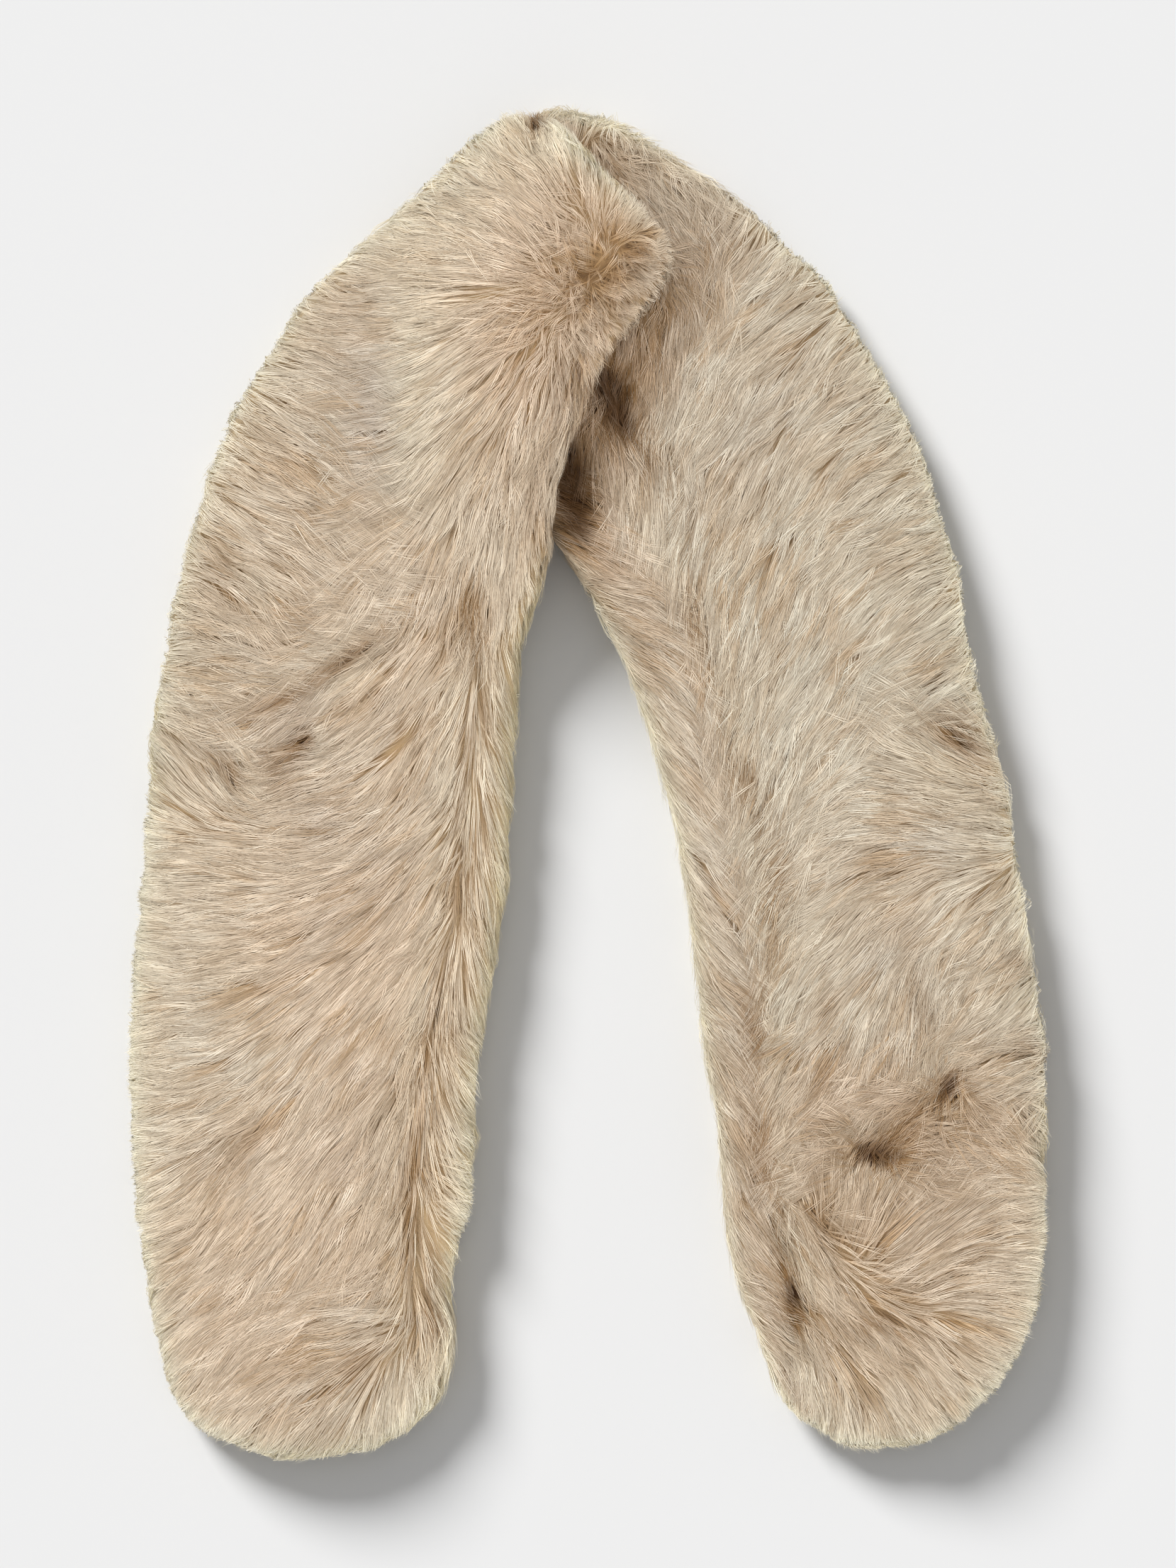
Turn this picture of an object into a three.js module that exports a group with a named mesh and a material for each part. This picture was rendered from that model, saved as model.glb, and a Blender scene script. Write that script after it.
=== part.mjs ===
// Fur collar wrap, laid flat and folded once at the neck. Millimetres, +Z up, resting on z = 0.
// The wrap is one long tube of fur cloth: a front panel and a back panel, sewn along both edges.
// It lies in two stretches. The left one ends in the fold at the neck and lies over the right one.
// A panel's wall is its backing and its pile together, so each solid reaches as far as the fur does.
import * as THREE from "three";

// Gaps: between pieces at a seam, between layers that lie on each other, and how far a thin layer sinks in
const SEAM_GAP = 0.3;
const LAY_GAP = 0.3;
const PLEAT_SINK = 1.1;

// Walls, backing and pile together: the pressed back panel, the folded return, the thinnest front panel
const BACK_WALL = 11;
const PLEAT_WALL = 8;
const LEAST_FRONT_WALL = 3;

// The parting along the seam
const SEAM_DEPTH = 5;
const SEAM_WIDTH = 7;

// How the upper stretch climbs over the lower one: its slope, where the slope starts, how far it reaches,
// how softly it meets the table, and the places tried around each point
const DRAPE_SLOPE = 0.62;
const DRAPE_LEVEL = 8;
const DRAPE_REACH = 110;
const DRAPE_SOFTNESS = 6;
const DRAPE_RINGS = 30;
const DRAPE_SPOKES = 24;

// Roundness of a section: powers of the curves over the crown and under the edges, and the shares of the
// half width where the flat underside ends and where the crown levels out
const TOP_POWER = 2.5;
const TOP_ROUND = 1.9;
const UNDER_POWER = 7;
const UNDER_ROUND = 2;
const RESTING_SHARE = 0.8;
const SHOULDER_SHARE = 0.55;

// Points round a section, and steps along a stretch
const TOP_STEPS = 14;
const BAND_STEPS = 5;
const RIM_STEPS = 3;
const UNDER_STEPS = 9;
const MIDDLE_STEPS = 8;
const END_STEPS = 6;
const BODY_STEP = 14;
const CURVE_SAMPLES = 240;

// The part of the table where one layer lies over another, and the spacing of heights worked out there
const NECK = { left: -170, right: 110, low: -20, high: 270, spacing: 3 };

// Sections from the free end to the neck: centre line, half width, crown height above what it lies on,
// and width of the band of back panel that rolls over the inner edge to the seam
const LEFT_SECTIONS = [
  { x: -95, y: -250.5, half: 58, crown: 31, band: 16 },
  { x: -106.5, y: -193, half: 57.5, crown: 32, band: 16 },
  { x: -106, y: -130, half: 64.5, crown: 33, band: 20 },
  { x: -103.5, y: -80, half: 66, crown: 33, band: 19 },
  { x: -98, y: -35, half: 67.5, crown: 34, band: 17 },
  { x: -93.5, y: 28, half: 67, crown: 34, band: 16 },
  { x: -88.5, y: 60, half: 65.5, crown: 34, band: 14 },
  { x: -79.5, y: 91, half: 66.5, crown: 33, band: 10 },
  { x: -67, y: 128, half: 61, crown: 32, band: 6 },
  { x: -47.5, y: 164.7, half: 54.5, crown: 31, band: 5 },
  { x: -29, y: 187, half: 48, crown: 30, band: 5 },
  { x: -12, y: 206, half: 46, crown: 29, band: 5 },
  { x: 1, y: 220, half: 43, crown: 27, band: 5 },
  { x: 6, y: 225, half: 42, crown: 26, band: 5 },
];
const RIGHT_SECTIONS = [
  { x: 104, y: -248.5, half: 56.5, crown: 31, band: 14 },
  { x: 111.5, y: -193, half: 57, crown: 32, band: 15 },
  { x: 109, y: -140.5, half: 61, crown: 33, band: 19 },
  { x: 105.5, y: -98.4, half: 63.5, crown: 33, band: 21 },
  { x: 100.4, y: -51, half: 62.5, crown: 33, band: 22 },
  { x: 92, y: -3.7, half: 62.5, crown: 33, band: 23 },
  { x: 79.5, y: 43.7, half: 62, crown: 33, band: 25 },
  { x: 65, y: 88.5, half: 67, crown: 32, band: 28 },
  { x: 40, y: 134.5, half: 69.5, crown: 29, band: 25 },
  { x: 16.5, y: 167.5, half: 63, crown: 25, band: 12 },
  { x: -10, y: 184.5, half: 63, crown: 21, band: 6 },
  { x: -36, y: 190, half: 62, crown: 19, band: 5 },
];
// The hidden return of the neck fold, from the notch down towards the crotch
const PLEAT_SECTIONS = [
  { x: -6, y: 222, half: 14, crown: PLEAT_WALL, band: 0 },
  { x: -8, y: 200, half: 24, crown: PLEAT_WALL, band: 0 },
  { x: -14, y: 170, half: 22, crown: PLEAT_WALL, band: 0 },
  { x: -20, y: 140, half: 16, crown: PLEAT_WALL, band: 0 },
  { x: -24, y: 118, half: 12, crown: PLEAT_WALL, band: 0 },
];

// Rounding at the ends of a stretch: how far it reaches along the stretch, and its power
const LEFT_END = { reach: 46, power: 2 };
const RIGHT_END = { reach: 60, power: 1.75 };
const FOLD_END = { reach: 14, power: 3 };
const HIDDEN_END = { reach: 16, power: 3 };

// Soft troughs in the fur: middle, heading in degrees from +X, length, width and depth
const LEFT_TROUGHS = [
  { x: -99, y: 44, heading: 32, length: 62, width: 20, depth: 6 },
  { x: -110, y: 8, heading: 75, length: 26, width: 16, depth: 7 },
  { x: -131, y: 4, heading: 120, length: 24, width: 14, depth: 5 },
  { x: -80, y: 128, heading: 88, length: 80, width: 30, depth: 5 },
  { x: -128, y: 70, heading: 20, length: 26, width: 14, depth: 4 },
  { x: -61, y: -90, heading: 70, length: 30, width: 14, depth: 5 },
  { x: -70, y: -140, heading: 80, length: 44, width: 16, depth: 4 },
];
const RIGHT_TROUGHS = [
  { x: 104, y: -137, heading: 10, length: 30, width: 18, depth: 8 },
  { x: 131, y: -113, heading: 85, length: 34, width: 18, depth: 8 },
  { x: 139, y: 0, heading: 140, length: 40, width: 18, depth: 5 },
  { x: 87, y: -192, heading: 155, length: 44, width: 16, depth: 5 },
  { x: 96, y: -81, heading: 80, length: 26, width: 14, depth: 4 },
  { x: 24, y: 142, heading: 120, length: 60, width: 26, depth: 7 },
];

const FUR = { color: 0xc3b19a, roughness: 0.9, metalness: 0 };

/** How full a rounded end is at a distance from its tip: 0 at the tip, 1 past its reach. */
function fullness(distance, end) {
  const short = Math.max(0, 1 - distance / end.reach);
  return (1 - short ** end.power) ** (1 / end.power);
}

/** A stretch of the wrap: its sections as smooth curves, its length, and the height that it lies on. */
function stretch(sections, inward, start, finish, troughs, liesOn) {
  const curve = (pick) => new THREE.CatmullRomCurve3(sections.map(pick), false, "catmullrom", 0.5);
  const line = curve((s) => new THREE.Vector3(s.x, s.y, 0));
  const sizes = curve((s) => new THREE.Vector3(s.half, s.crown, s.band));
  line.arcLengthDivisions = CURVE_SAMPLES;
  return { line, sizes, length: line.getLength(), inward, start, finish, troughs, liesOn };
}

/** The section of a stretch at a distance from its first end. */
function sectionAt(s, distance) {
  const t = s.line.getUtoTmapping(distance / s.length);
  const centre = s.line.getPoint(t);
  const heading = s.line.getTangent(t);
  const [half, crown, band] = s.sizes.getPoint(t).toArray();
  const full = fullness(distance, s.start) * fullness(s.length - distance, s.finish);
  const edge = Math.min(BACK_WALL, crown / 2);
  return {
    centre,
    across: new THREE.Vector3(heading.y, -heading.x, 0).multiplyScalar(s.inward),
    heading,
    half: half * full,
    seam: (half - band) * full,
    edge,
    rise: (crown - edge) * full,
    sink: edge * full,
  };
}

/** Height of a section's upper side, before its troughs. */
function crownHeight(c, offset) {
  const share = Math.min(1, Math.abs(offset) / c.half);
  return c.edge + c.rise * (1 - share ** TOP_POWER) ** (1 / TOP_ROUND);
}

/** Height of a section's under side, flat but for its rounded edges. */
function underHeight(c, offset) {
  const share = Math.min(1, Math.abs(offset) / c.half);
  return c.edge - c.sink * (1 - share ** UNDER_POWER) ** (1 / UNDER_ROUND);
}

/** Depth of the soft troughs of a stretch at a place. */
function troughDepth(s, x, y) {
  return s.troughs.reduce((sum, f) => {
    const turn = THREE.MathUtils.degToRad(f.heading);
    const along = (x - f.x) * Math.cos(turn) + (y - f.y) * Math.sin(turn);
    const aside = (y - f.y) * Math.cos(turn) - (x - f.x) * Math.sin(turn);
    return sum + f.depth * Math.exp(-((2 * along / f.length) ** 2) - (2 * aside / f.width) ** 2);
  }, 0);
}

/** Height of the fur's surface, with the troughs and the groove of the seam. */
function furHeight(s, c, offset) {
  const x = c.centre.x + c.across.x * offset;
  const y = c.centre.y + c.across.y * offset;
  const groove = SEAM_DEPTH * Math.exp(-(((offset - c.seam) / SEAM_WIDTH) ** 2));
  const high = crownHeight(c, offset);
  const wall = high - c.edge;
  const lowest = c.edge + Math.min(wall, LEAST_FRONT_WALL);
  return Math.max(lowest, high - groove - troughDepth(s, x, y));
}

/** A point of a section, at an offset towards the inner edge and a height above what it lies on. */
function place(s, c, offset, height) {
  const p = c.centre.clone().addScaledVector(c.across, offset);
  return p.setZ(height + s.liesOn(p.x, p.y));
}

/** Numbers from one value to another, closer together at the first one. */
function eased(from, to, steps) {
  return Array.from({ length: steps + 1 }, (_, i) => {
    const share = 1 - Math.cos((Math.PI / 2) * (i / steps));
    return from + (to - from) * share;
  });
}

/** Numbers from one value to another, evenly spaced. */
function even(from, to, steps) {
  return Array.from({ length: steps + 1 }, (_, i) => from + ((to - from) * i) / steps);
}

/** Distances of the sections along a stretch, closer together at its rounded ends. */
function stations(s) {
  const first = eased(0, s.start.reach, END_STEPS).slice(1);
  const last = eased(s.length, s.length - s.finish.reach, END_STEPS).slice(1).reverse();
  const bodySteps = Math.ceil((last[0] - first.at(-1)) / BODY_STEP);
  const body = even(first.at(-1), last[0], bodySteps).slice(1, -1);
  return [...first, ...body, ...last];
}

/** Offsets over the crown from the outer edge to the seam, closer together at the edge. */
function topOffsets(c) {
  const shoulder = -SHOULDER_SHARE * c.half;
  const steps = TOP_STEPS / 2;
  return [...eased(-c.half, shoulder, steps), ...even(shoulder, c.seam - SEAM_GAP / 2, steps).slice(1)];
}

/** The front panel's section: over the crown from the outer edge to the seam, and back beneath. */
function frontRing(s, c) {
  const low = c.edge + SEAM_GAP / 2;
  const over = topOffsets(c).map((v) => place(s, c, v, Math.max(low, furHeight(s, c, v))));
  const beneath = even(c.seam - SEAM_GAP / 2, -c.half, MIDDLE_STEPS).slice(0, -1);
  return [...over, ...beneath.map((v) => place(s, c, v, low))];
}

/** The back panel's section: under the wrap, round the inner edge to the seam, and back beneath the front. */
function backRing(s, c) {
  const high = c.edge - SEAM_GAP / 2;
  const seam = c.seam + SEAM_GAP / 2;
  const flat = RESTING_SHARE * c.half;
  const rim = eased(-c.half, -flat, RIM_STEPS);
  const rest = even(-flat, flat, UNDER_STEPS).slice(1, -1);
  const turn = eased(c.half, flat, RIM_STEPS).reverse().slice(0, -1);
  const under = [...rim, ...rest, ...turn].map((v) => place(s, c, v, Math.min(high, underHeight(c, v))));
  const band = eased(c.half, seam, BAND_STEPS).map((v) => place(s, c, v, furHeight(s, c, v)));
  const middle = even(seam, -c.half, MIDDLE_STEPS).slice(0, -1).map((v) => place(s, c, v, high));
  return [...under, ...band, ...middle];
}

/** A closed slab's section, for the hidden return of the fold. */
function slabRing(s, c) {
  const over = [...eased(-c.half, 0, BAND_STEPS), ...eased(c.half, 0, BAND_STEPS).reverse().slice(1)];
  const under = over.slice(1, -1).reverse();
  return [
    ...over.map((v) => place(s, c, v, crownHeight(c, v))),
    ...under.map((v) => place(s, c, v, underHeight(c, v))),
  ];
}

/** Triangles that close the loft of a stretch with the polygon of one end ring. */
function capFaces(ring, section, base) {
  const flat = ring.map((p) => {
    const offset = p.clone().sub(section.centre).dot(section.across);
    return new THREE.Vector2(offset, p.z);
  });
  return THREE.ShapeUtils.triangulateShape(flat, []).map((face) => face.map((i) => i + base));
}

/** Six times the signed volume that triangles enclose: below zero when they point inwards. */
function signedVolume(points, faces) {
  return faces.reduce((sum, [a, b, c]) => {
    const turned = new THREE.Vector3().crossVectors(points[b], points[c]);
    return sum + points[a].dot(turned);
  }, 0);
}

/** A closed solid lofted through the rings of a stretch, with its faces pointing out. */
function loft(s, ringOf) {
  const sections = stations(s).map((d) => sectionAt(s, d));
  const rings = sections.map((c) => ringOf(s, c));
  const count = rings[0].length;
  const lastBase = (rings.length - 1) * count;
  const walls = [];
  for (let r = 0; r + 1 < rings.length; r++) {
    for (let i = 0; i < count; i++) {
      const a = r * count + i;
      const b = r * count + ((i + 1) % count);
      walls.push([a, b, a + count], [b, b + count, a + count]);
    }
  }
  const firstCap = facingWith(capFaces(rings[0], sections[0], 0), walls);
  const lastCap = facingWith(capFaces(rings.at(-1), sections.at(-1), lastBase), walls);
  const points = rings.flat();
  const faces = [...walls, ...firstCap, ...lastCap];
  const outward = signedVolume(points, faces) > 0 ? faces : faces.map(turnedOver);
  const geometry = new THREE.BufferGeometry().setFromPoints(points);
  geometry.setIndex(outward.flat());
  geometry.computeVertexNormals();
  return geometry;
}

/** A triangle facing the other way. */
function turnedOver([a, b, c]) {
  return [a, c, b];
}

/** The three directed edges of a triangle. */
function edgesOf([a, b, c]) {
  return [`${a},${b}`, `${b},${c}`, `${c},${a}`];
}

/** Cap faces turned so that each edge they share with the walls runs the other way. */
function facingWith(cap, walls) {
  const used = new Set(walls.flatMap(edgesOf));
  return cap.some((face) => edgesOf(face).some((e) => used.has(e))) ? cap.map(turnedOver) : cap;
}

/** Height of a stretch's upper side over a place, or 0 beside it. */
function topOver(s) {
  const step = s.length / CURVE_SAMPLES;
  const sections = even(step, s.length - step, CURVE_SAMPLES - 2).map((d) => sectionAt(s, d));
  return (x, y) => {
    let high = 0;
    for (const c of sections) {
      const dx = x - c.centre.x;
      const dy = y - c.centre.y;
      const offset = dx * c.across.x + dy * c.across.y;
      const ahead = dx * c.heading.x + dy * c.heading.y;
      if (Math.abs(ahead) < 2 * step && Math.abs(offset) < c.half) {
        high = Math.max(high, crownHeight(c, offset) + s.liesOn(x, y));
      }
    }
    return high;
  };
}

/** How cloth drapes over what is beneath it: level past its edge for a little, sloping, then flat. */
function drapedOver(height, gap) {
  return (x, y) => {
    let slope = -Infinity;
    for (let r = 0; r <= DRAPE_RINGS; r++) {
      const reach = (DRAPE_REACH * r) / DRAPE_RINGS;
      const fall = DRAPE_SLOPE * Math.max(0, reach - DRAPE_LEVEL);
      for (let k = 0; k < DRAPE_SPOKES; k++) {
        const turn = (2 * Math.PI * k) / DRAPE_SPOKES;
        const there = height(x + reach * Math.cos(turn), y + reach * Math.sin(turn));
        if (there > 0) slope = Math.max(slope, there - fall + gap);
      }
    }
    return slope === -Infinity ? 0 : (slope + Math.hypot(slope, DRAPE_SOFTNESS)) / 2;
  };
}

/** A height worked out once on a grid over the neck, and read from it smoothly. It is 0 past the grid. */
function gridded(height) {
  const columns = Math.ceil((NECK.right - NECK.left) / NECK.spacing);
  const rows = Math.ceil((NECK.high - NECK.low) / NECK.spacing);
  const at = (i, j) => height(NECK.left + i * NECK.spacing, NECK.low + j * NECK.spacing);
  const grid = Array.from({ length: rows + 1 }, (_, j) =>
    Array.from({ length: columns + 1 }, (_, i) => at(i, j)));
  return (x, y) => {
    const u = (x - NECK.left) / NECK.spacing;
    const v = (y - NECK.low) / NECK.spacing;
    const i = Math.floor(u);
    const j = Math.floor(v);
    if (i < 0 || j < 0 || i >= columns || j >= rows) return 0;
    const low = THREE.MathUtils.lerp(grid[j][i], grid[j][i + 1], u - i);
    const high = THREE.MathUtils.lerp(grid[j + 1][i], grid[j + 1][i + 1], u - i);
    return THREE.MathUtils.lerp(low, high, v - j);
  };
}

/** The higher of two heights. */
function higher(a, b) {
  return (x, y) => Math.max(a(x, y), b(x, y));
}

/** One named piece of the wrap. */
function piece(name, geometry) {
  const mesh = new THREE.Mesh(geometry, new THREE.MeshStandardMaterial(FUR));
  mesh.name = name;
  return mesh;
}

const onTable = () => 0;
const right = stretch(RIGHT_SECTIONS, -1, RIGHT_END, HIDDEN_END, RIGHT_TROUGHS, onTable);
const rightTop = gridded(topOver(right));
const onRight = gridded(drapedOver(rightTop, LAY_GAP - PLEAT_SINK));
const pleat = stretch(PLEAT_SECTIONS, 1, HIDDEN_END, HIDDEN_END, [], onRight);
const heapTop = gridded(higher(rightTop, topOver(pleat)));
const onHeap = gridded(drapedOver(heapTop, LAY_GAP));
const left = stretch(LEFT_SECTIONS, 1, LEFT_END, FOLD_END, LEFT_TROUGHS, onHeap);

const wrap = new THREE.Group();
wrap.name = "fur_collar_wrap";
wrap.add(
  piece("right_front_panel", loft(right, frontRing)),
  piece("right_back_panel", loft(right, backRing)),
  piece("neck_fold_return", loft(pleat, slabRing)),
  piece("left_front_panel", loft(left, frontRing)),
  piece("left_back_panel", loft(left, backRing)),
);

// The origin is on the table, under the middle of the wrap
const middle = new THREE.Box3().setFromObject(wrap).getCenter(new THREE.Vector3());
wrap.children.forEach((mesh) => mesh.geometry.translate(-middle.x, -middle.y, 0));

export default wrap;
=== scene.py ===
# %% [markdown]
# # A fur collar wrap, laid flat
# The wrap is one long tube of beige long-pile fur cloth. It lies as an arch and is folded once at the
# neck, the left arm over the right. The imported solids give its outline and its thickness. This lesson
# turns each solid into a thin skin of backing cloth and grows combed fur on it with Geometry Nodes.

# %% Load the frame
from math import cos, exp, radians, sin

import bmesh
import bpy
import numpy as np
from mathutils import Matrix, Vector
from mathutils.bvhtree import BVHTree
from mathutils.kdtree import KDTree


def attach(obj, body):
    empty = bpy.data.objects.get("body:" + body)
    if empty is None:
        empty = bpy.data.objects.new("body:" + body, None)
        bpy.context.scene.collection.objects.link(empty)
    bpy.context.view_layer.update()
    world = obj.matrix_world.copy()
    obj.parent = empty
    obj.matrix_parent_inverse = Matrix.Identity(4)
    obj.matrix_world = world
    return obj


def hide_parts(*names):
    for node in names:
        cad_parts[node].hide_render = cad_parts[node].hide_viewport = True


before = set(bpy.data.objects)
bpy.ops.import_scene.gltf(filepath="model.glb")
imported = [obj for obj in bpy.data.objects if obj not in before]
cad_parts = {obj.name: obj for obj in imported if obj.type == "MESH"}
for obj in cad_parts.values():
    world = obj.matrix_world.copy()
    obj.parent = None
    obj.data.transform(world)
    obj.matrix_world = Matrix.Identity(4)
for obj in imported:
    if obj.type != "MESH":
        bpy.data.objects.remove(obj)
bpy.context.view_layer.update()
MM = 0.001

# %% [markdown]
# ## The camera
# The photograph looks straight down on a wrap about half a metre long. A long lens from far above keeps
# the arms' sides out of sight, as they are there. The frame is 1659 by 2212 pixels, and the wrap fills
# 1900 of those rows, so its laid length sets the size of the view. The camera looks at the height where
# the arms are widest.

# %% Camera above the wrap
PHOTO_ROWS = 2212
WRAP_ROWS = 1900
LAID_LENGTH = 500 * MM
CAMERA_HEIGHT = 2.6
MIDDLE_HEIGHT = 16 * MM
CAMERA_SHIFT = (0.2 * MM, 1.2 * MM)
SENSOR = 36.0

view_height = LAID_LENGTH * PHOTO_ROWS / WRAP_ROWS
camera_data = bpy.data.cameras.new("camera")
camera_data.sensor_fit = "VERTICAL"
camera_data.sensor_height = SENSOR
camera_data.lens = SENSOR * (CAMERA_HEIGHT - MIDDLE_HEIGHT) / view_height
camera = bpy.data.objects.new("camera", camera_data)
camera.location = (*CAMERA_SHIFT, CAMERA_HEIGHT)
bpy.context.scene.collection.objects.link(camera)
bpy.context.scene.camera = camera
print("lens", round(camera_data.lens, 1), "mm")

# %% [markdown]
# ## Helpers for meshes
# Each solid arrives as loose triangles, so a copy of it is merged before anything is done to it. A voxel
# remesh then gives an even surface that the fur can grow on, because points are scattered by area and
# the comb is kept at the corners.

# %% Mesh helpers
MERGE_DISTANCE = 0.01 * MM


def new_object(name, mesh):
    """Links a mesh to the scene at the origin."""
    made = bpy.data.objects.new(name, mesh)
    bpy.context.scene.collection.objects.link(made)
    return made


def joined_copy(name, nodes):
    """One mesh with the merged triangles of some solids."""
    work = bmesh.new()
    for node in nodes:
        work.from_mesh(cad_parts[node].data)
    bmesh.ops.remove_doubles(work, verts=work.verts, dist=MERGE_DISTANCE)
    mesh = bpy.data.meshes.new(name)
    work.to_mesh(mesh)
    work.free()
    return mesh


def finished_mesh(made, name):
    """The mesh of an object with its modifiers applied."""
    graph = bpy.context.evaluated_depsgraph_get()
    mesh = bpy.data.meshes.new_from_object(made.evaluated_get(graph))
    mesh.name = name
    made.modifiers.clear()
    return mesh


def corners(mesh):
    """The corners of a mesh as an array of places."""
    places = np.empty(len(mesh.vertices) * 3)
    mesh.vertices.foreach_get("co", places)
    return places.reshape(-1, 3)


def corner_normals(mesh):
    """The outward directions at the corners of a mesh."""
    out = np.empty(len(mesh.vertices) * 3)
    mesh.vertex_normals.foreach_get("vector", out)
    return out.reshape(-1, 3)


def keep_value(mesh, name, values):
    """Stores one number or one vector for each corner, under a name that nodes can read."""
    kind, field = ("FLOAT", "value") if values.ndim == 1 else ("FLOAT_VECTOR", "vector")
    layer = mesh.attributes.new(name, kind, "POINT")
    layer.data.foreach_set(field, np.ascontiguousarray(values, dtype=np.float32).ravel())


def kept_value(mesh, name):
    """The numbers that the corners of a mesh carry under a name."""
    values = np.empty(len(mesh.vertices))
    mesh.attributes[name].data.foreach_get("value", values)
    return values


def triangles(mesh):
    """How many triangles a mesh makes."""
    return sum(len(face.vertices) - 2 for face in mesh.polygons)


print("mesh helpers ready")

# %% [markdown]
# ## The form of each arm
# Front and back panel of an arm are two strips of one tube, so the fur of an arm has one outer form. Both
# solids are fused by a voxel remesh larger than the gap between them and smoothed a little. Two tables add
# the main creases and the few places where the sides are fuller or slimmer. This form is the surface along
# which the fur lies.

# %% Fuse the panels of each arm
ARMS = {
    "left": ("left_front_panel", "left_back_panel"),
    "right": ("right_front_panel", "right_back_panel"),
    "neck_fold": ("neck_fold_return",),
}
FORM_VOXEL = {"left": 4.5 * MM, "right": 4.5 * MM, "neck_fold": 3 * MM}
FORM_SMOOTHING = 4
# Where the sides are fuller or slimmer than the solids: x, y, radius, millimetres outwards
FULLNESS = {
    "left": [
        (-30, 251, 10, -3), (-19, 251, 5, -4), (-82, 207, 14, -2), (-104, 181, 18, 2.5),
        (-130, 142, 22, 2.5), (-153, 76, 25, 1.5), (-162, 14, 18, 2), (-166, -43, 20, 1),
        (-170, -100, 20, 1), (-161, -202, 14, -2), (-156, -222, 14, -2.5), (-141, -241, 14, -3),
        (-124, -249, 14, -2.5), (-56, -228, 12, 3), (-68, -238, 12, 2.5), (-85, -246, 12, 1.5),
        (-49, -191, 14, -3), (-45, -157, 10, 2), (-40, -106, 16, -2), (-21, 59, 12, -3), (4, 150, 14, -1),
        (-8, 118, 22, -4)],
    "right": [
        (-7, 79, 10, -2), (32, -18, 14, -1.5), (46, -123, 22, -3), (60, -202, 14, -4), (75, -230, 10, 4),
        (123, -244, 16, -2), (151, -225, 16, -4), (166, -202, 14, -2), (170, -162, 12, 1.5),
        (170, -106, 18, 2), (156, -3, 14, 2), (148, 25, 12, -2), (137, 76, 18, 3), (123, 127, 18, 2),
        (83, 190, 16, 3), (60, 213, 14, 2.5), (6, 247, 12, 4), (-11, 251, 8, 2)],
    "neck_fold": [],
}
# Creases and swellings of the upper side: x, y, half length, half width, heading, millimetres upwards
CREASES = {
    "left": [
        (-88, 48, 18, 6, 38, -4), (-116, 31, 14, 5, 22, -3), (-106, 16, 7, 6, 60, -5),
        (-132, 4, 10, 6, 122, -4), (-80, 140, 40, 14, 90, -3), (4, 190, 22, 10, 45, 4),
        (-19, 244, 10, 5, 88, -6), (-125, 72, 12, 7, -40, -3)],
    "right": [
        (11, 141, 18, 7, -63, -8), (-6, 113, 16, 8, -78, -5), (40, 190, 28, 11, 75, -3),
        (136, 14, 15, 7, -30, -4), (133, -110, 10, 8, -20, -3), (106, -137, 14, 8, -20, -4),
        (75, -185, 16, 7, -70, -3)],
    "neck_fold": [],
}


def soft_spot(places, x, y, long, wide, turn):
    """A soft spot of a given length, width and heading: 1 in its middle and 0 far away."""
    dx, dy = places[:, 0] / MM - x, places[:, 1] / MM - y
    along = dx * cos(radians(turn)) + dy * sin(radians(turn))
    aside = dy * cos(radians(turn)) - dx * sin(radians(turn))
    return np.exp(-(along / long) ** 2 - (aside / wide) ** 2)


def shape_form(arm, mesh):
    """Moves the corners of a form to where the real wrap is fuller, slimmer or creased."""
    places, outs = corners(mesh), corner_normals(mesh)
    none = np.zeros(len(places))
    sides = sum((out * soft_spot(places, x, y, r, r, 0) for x, y, r, out in FULLNESS[arm]), none)
    above = sum((up * soft_spot(places, x, y, lo, wi, t) for x, y, lo, wi, t, up in CREASES[arm]), none)
    move = sides * (1 - np.abs(outs[:, 2])) + above * np.clip(outs[:, 2], 0, 1)
    mesh.vertices.foreach_set("co", (places + outs * (move * MM)[:, None]).ravel())
    mesh.update()


def fused_form(arm):
    """The outer form of an arm, as an even closed mesh."""
    made = new_object(arm + "_form", joined_copy(arm + "_form", ARMS[arm]))
    remesh = made.modifiers.new("fuse", "REMESH")
    remesh.mode = "VOXEL"
    remesh.voxel_size = FORM_VOXEL[arm]
    smooth = made.modifiers.new("smooth", "SMOOTH")
    smooth.factor = 0.5
    smooth.iterations = FORM_SMOOTHING
    made.data = finished_mesh(made, arm + "_form")
    shape_form(arm, made.data)
    made.hide_render = True
    return made


forms = {arm: fused_form(arm) for arm in ARMS}
for arm, made in forms.items():
    print(arm, "form:", len(made.data.vertices), "corners")

# %% [markdown]
# ## Where fur can grow
# Hair grows on the faces that are free: not where a panel lies on another one, and not on the side that
# rests on the table. A short ray from each corner tells. The skin then lies a little below the form, less so
# on the sides and at the fold, so that the hair rises out of it and ends near the form.

# %% Skin of each arm
PILE_DEPTH = 2.6 * MM
SIDE_SHARE = 0.35
FOLD_SHARE = 0.3
FREE_ROOM = 5 * MM
TABLE_ROOM = 2.5 * MM
OFF_THE_TABLE = 0.2 * MM
COVER_ROUNDS = 3
# A surface that leans below this looks down at the table
UNDERSIDE = -0.5


def solid_tree(nodes):
    """A search tree over some solids."""
    mesh = joined_copy("search", nodes)
    tree = BVHTree.FromPolygons(
        [v.co for v in mesh.vertices], [tuple(f.vertices) for f in mesh.polygons])
    bpy.data.meshes.remove(mesh)
    return tree


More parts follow.
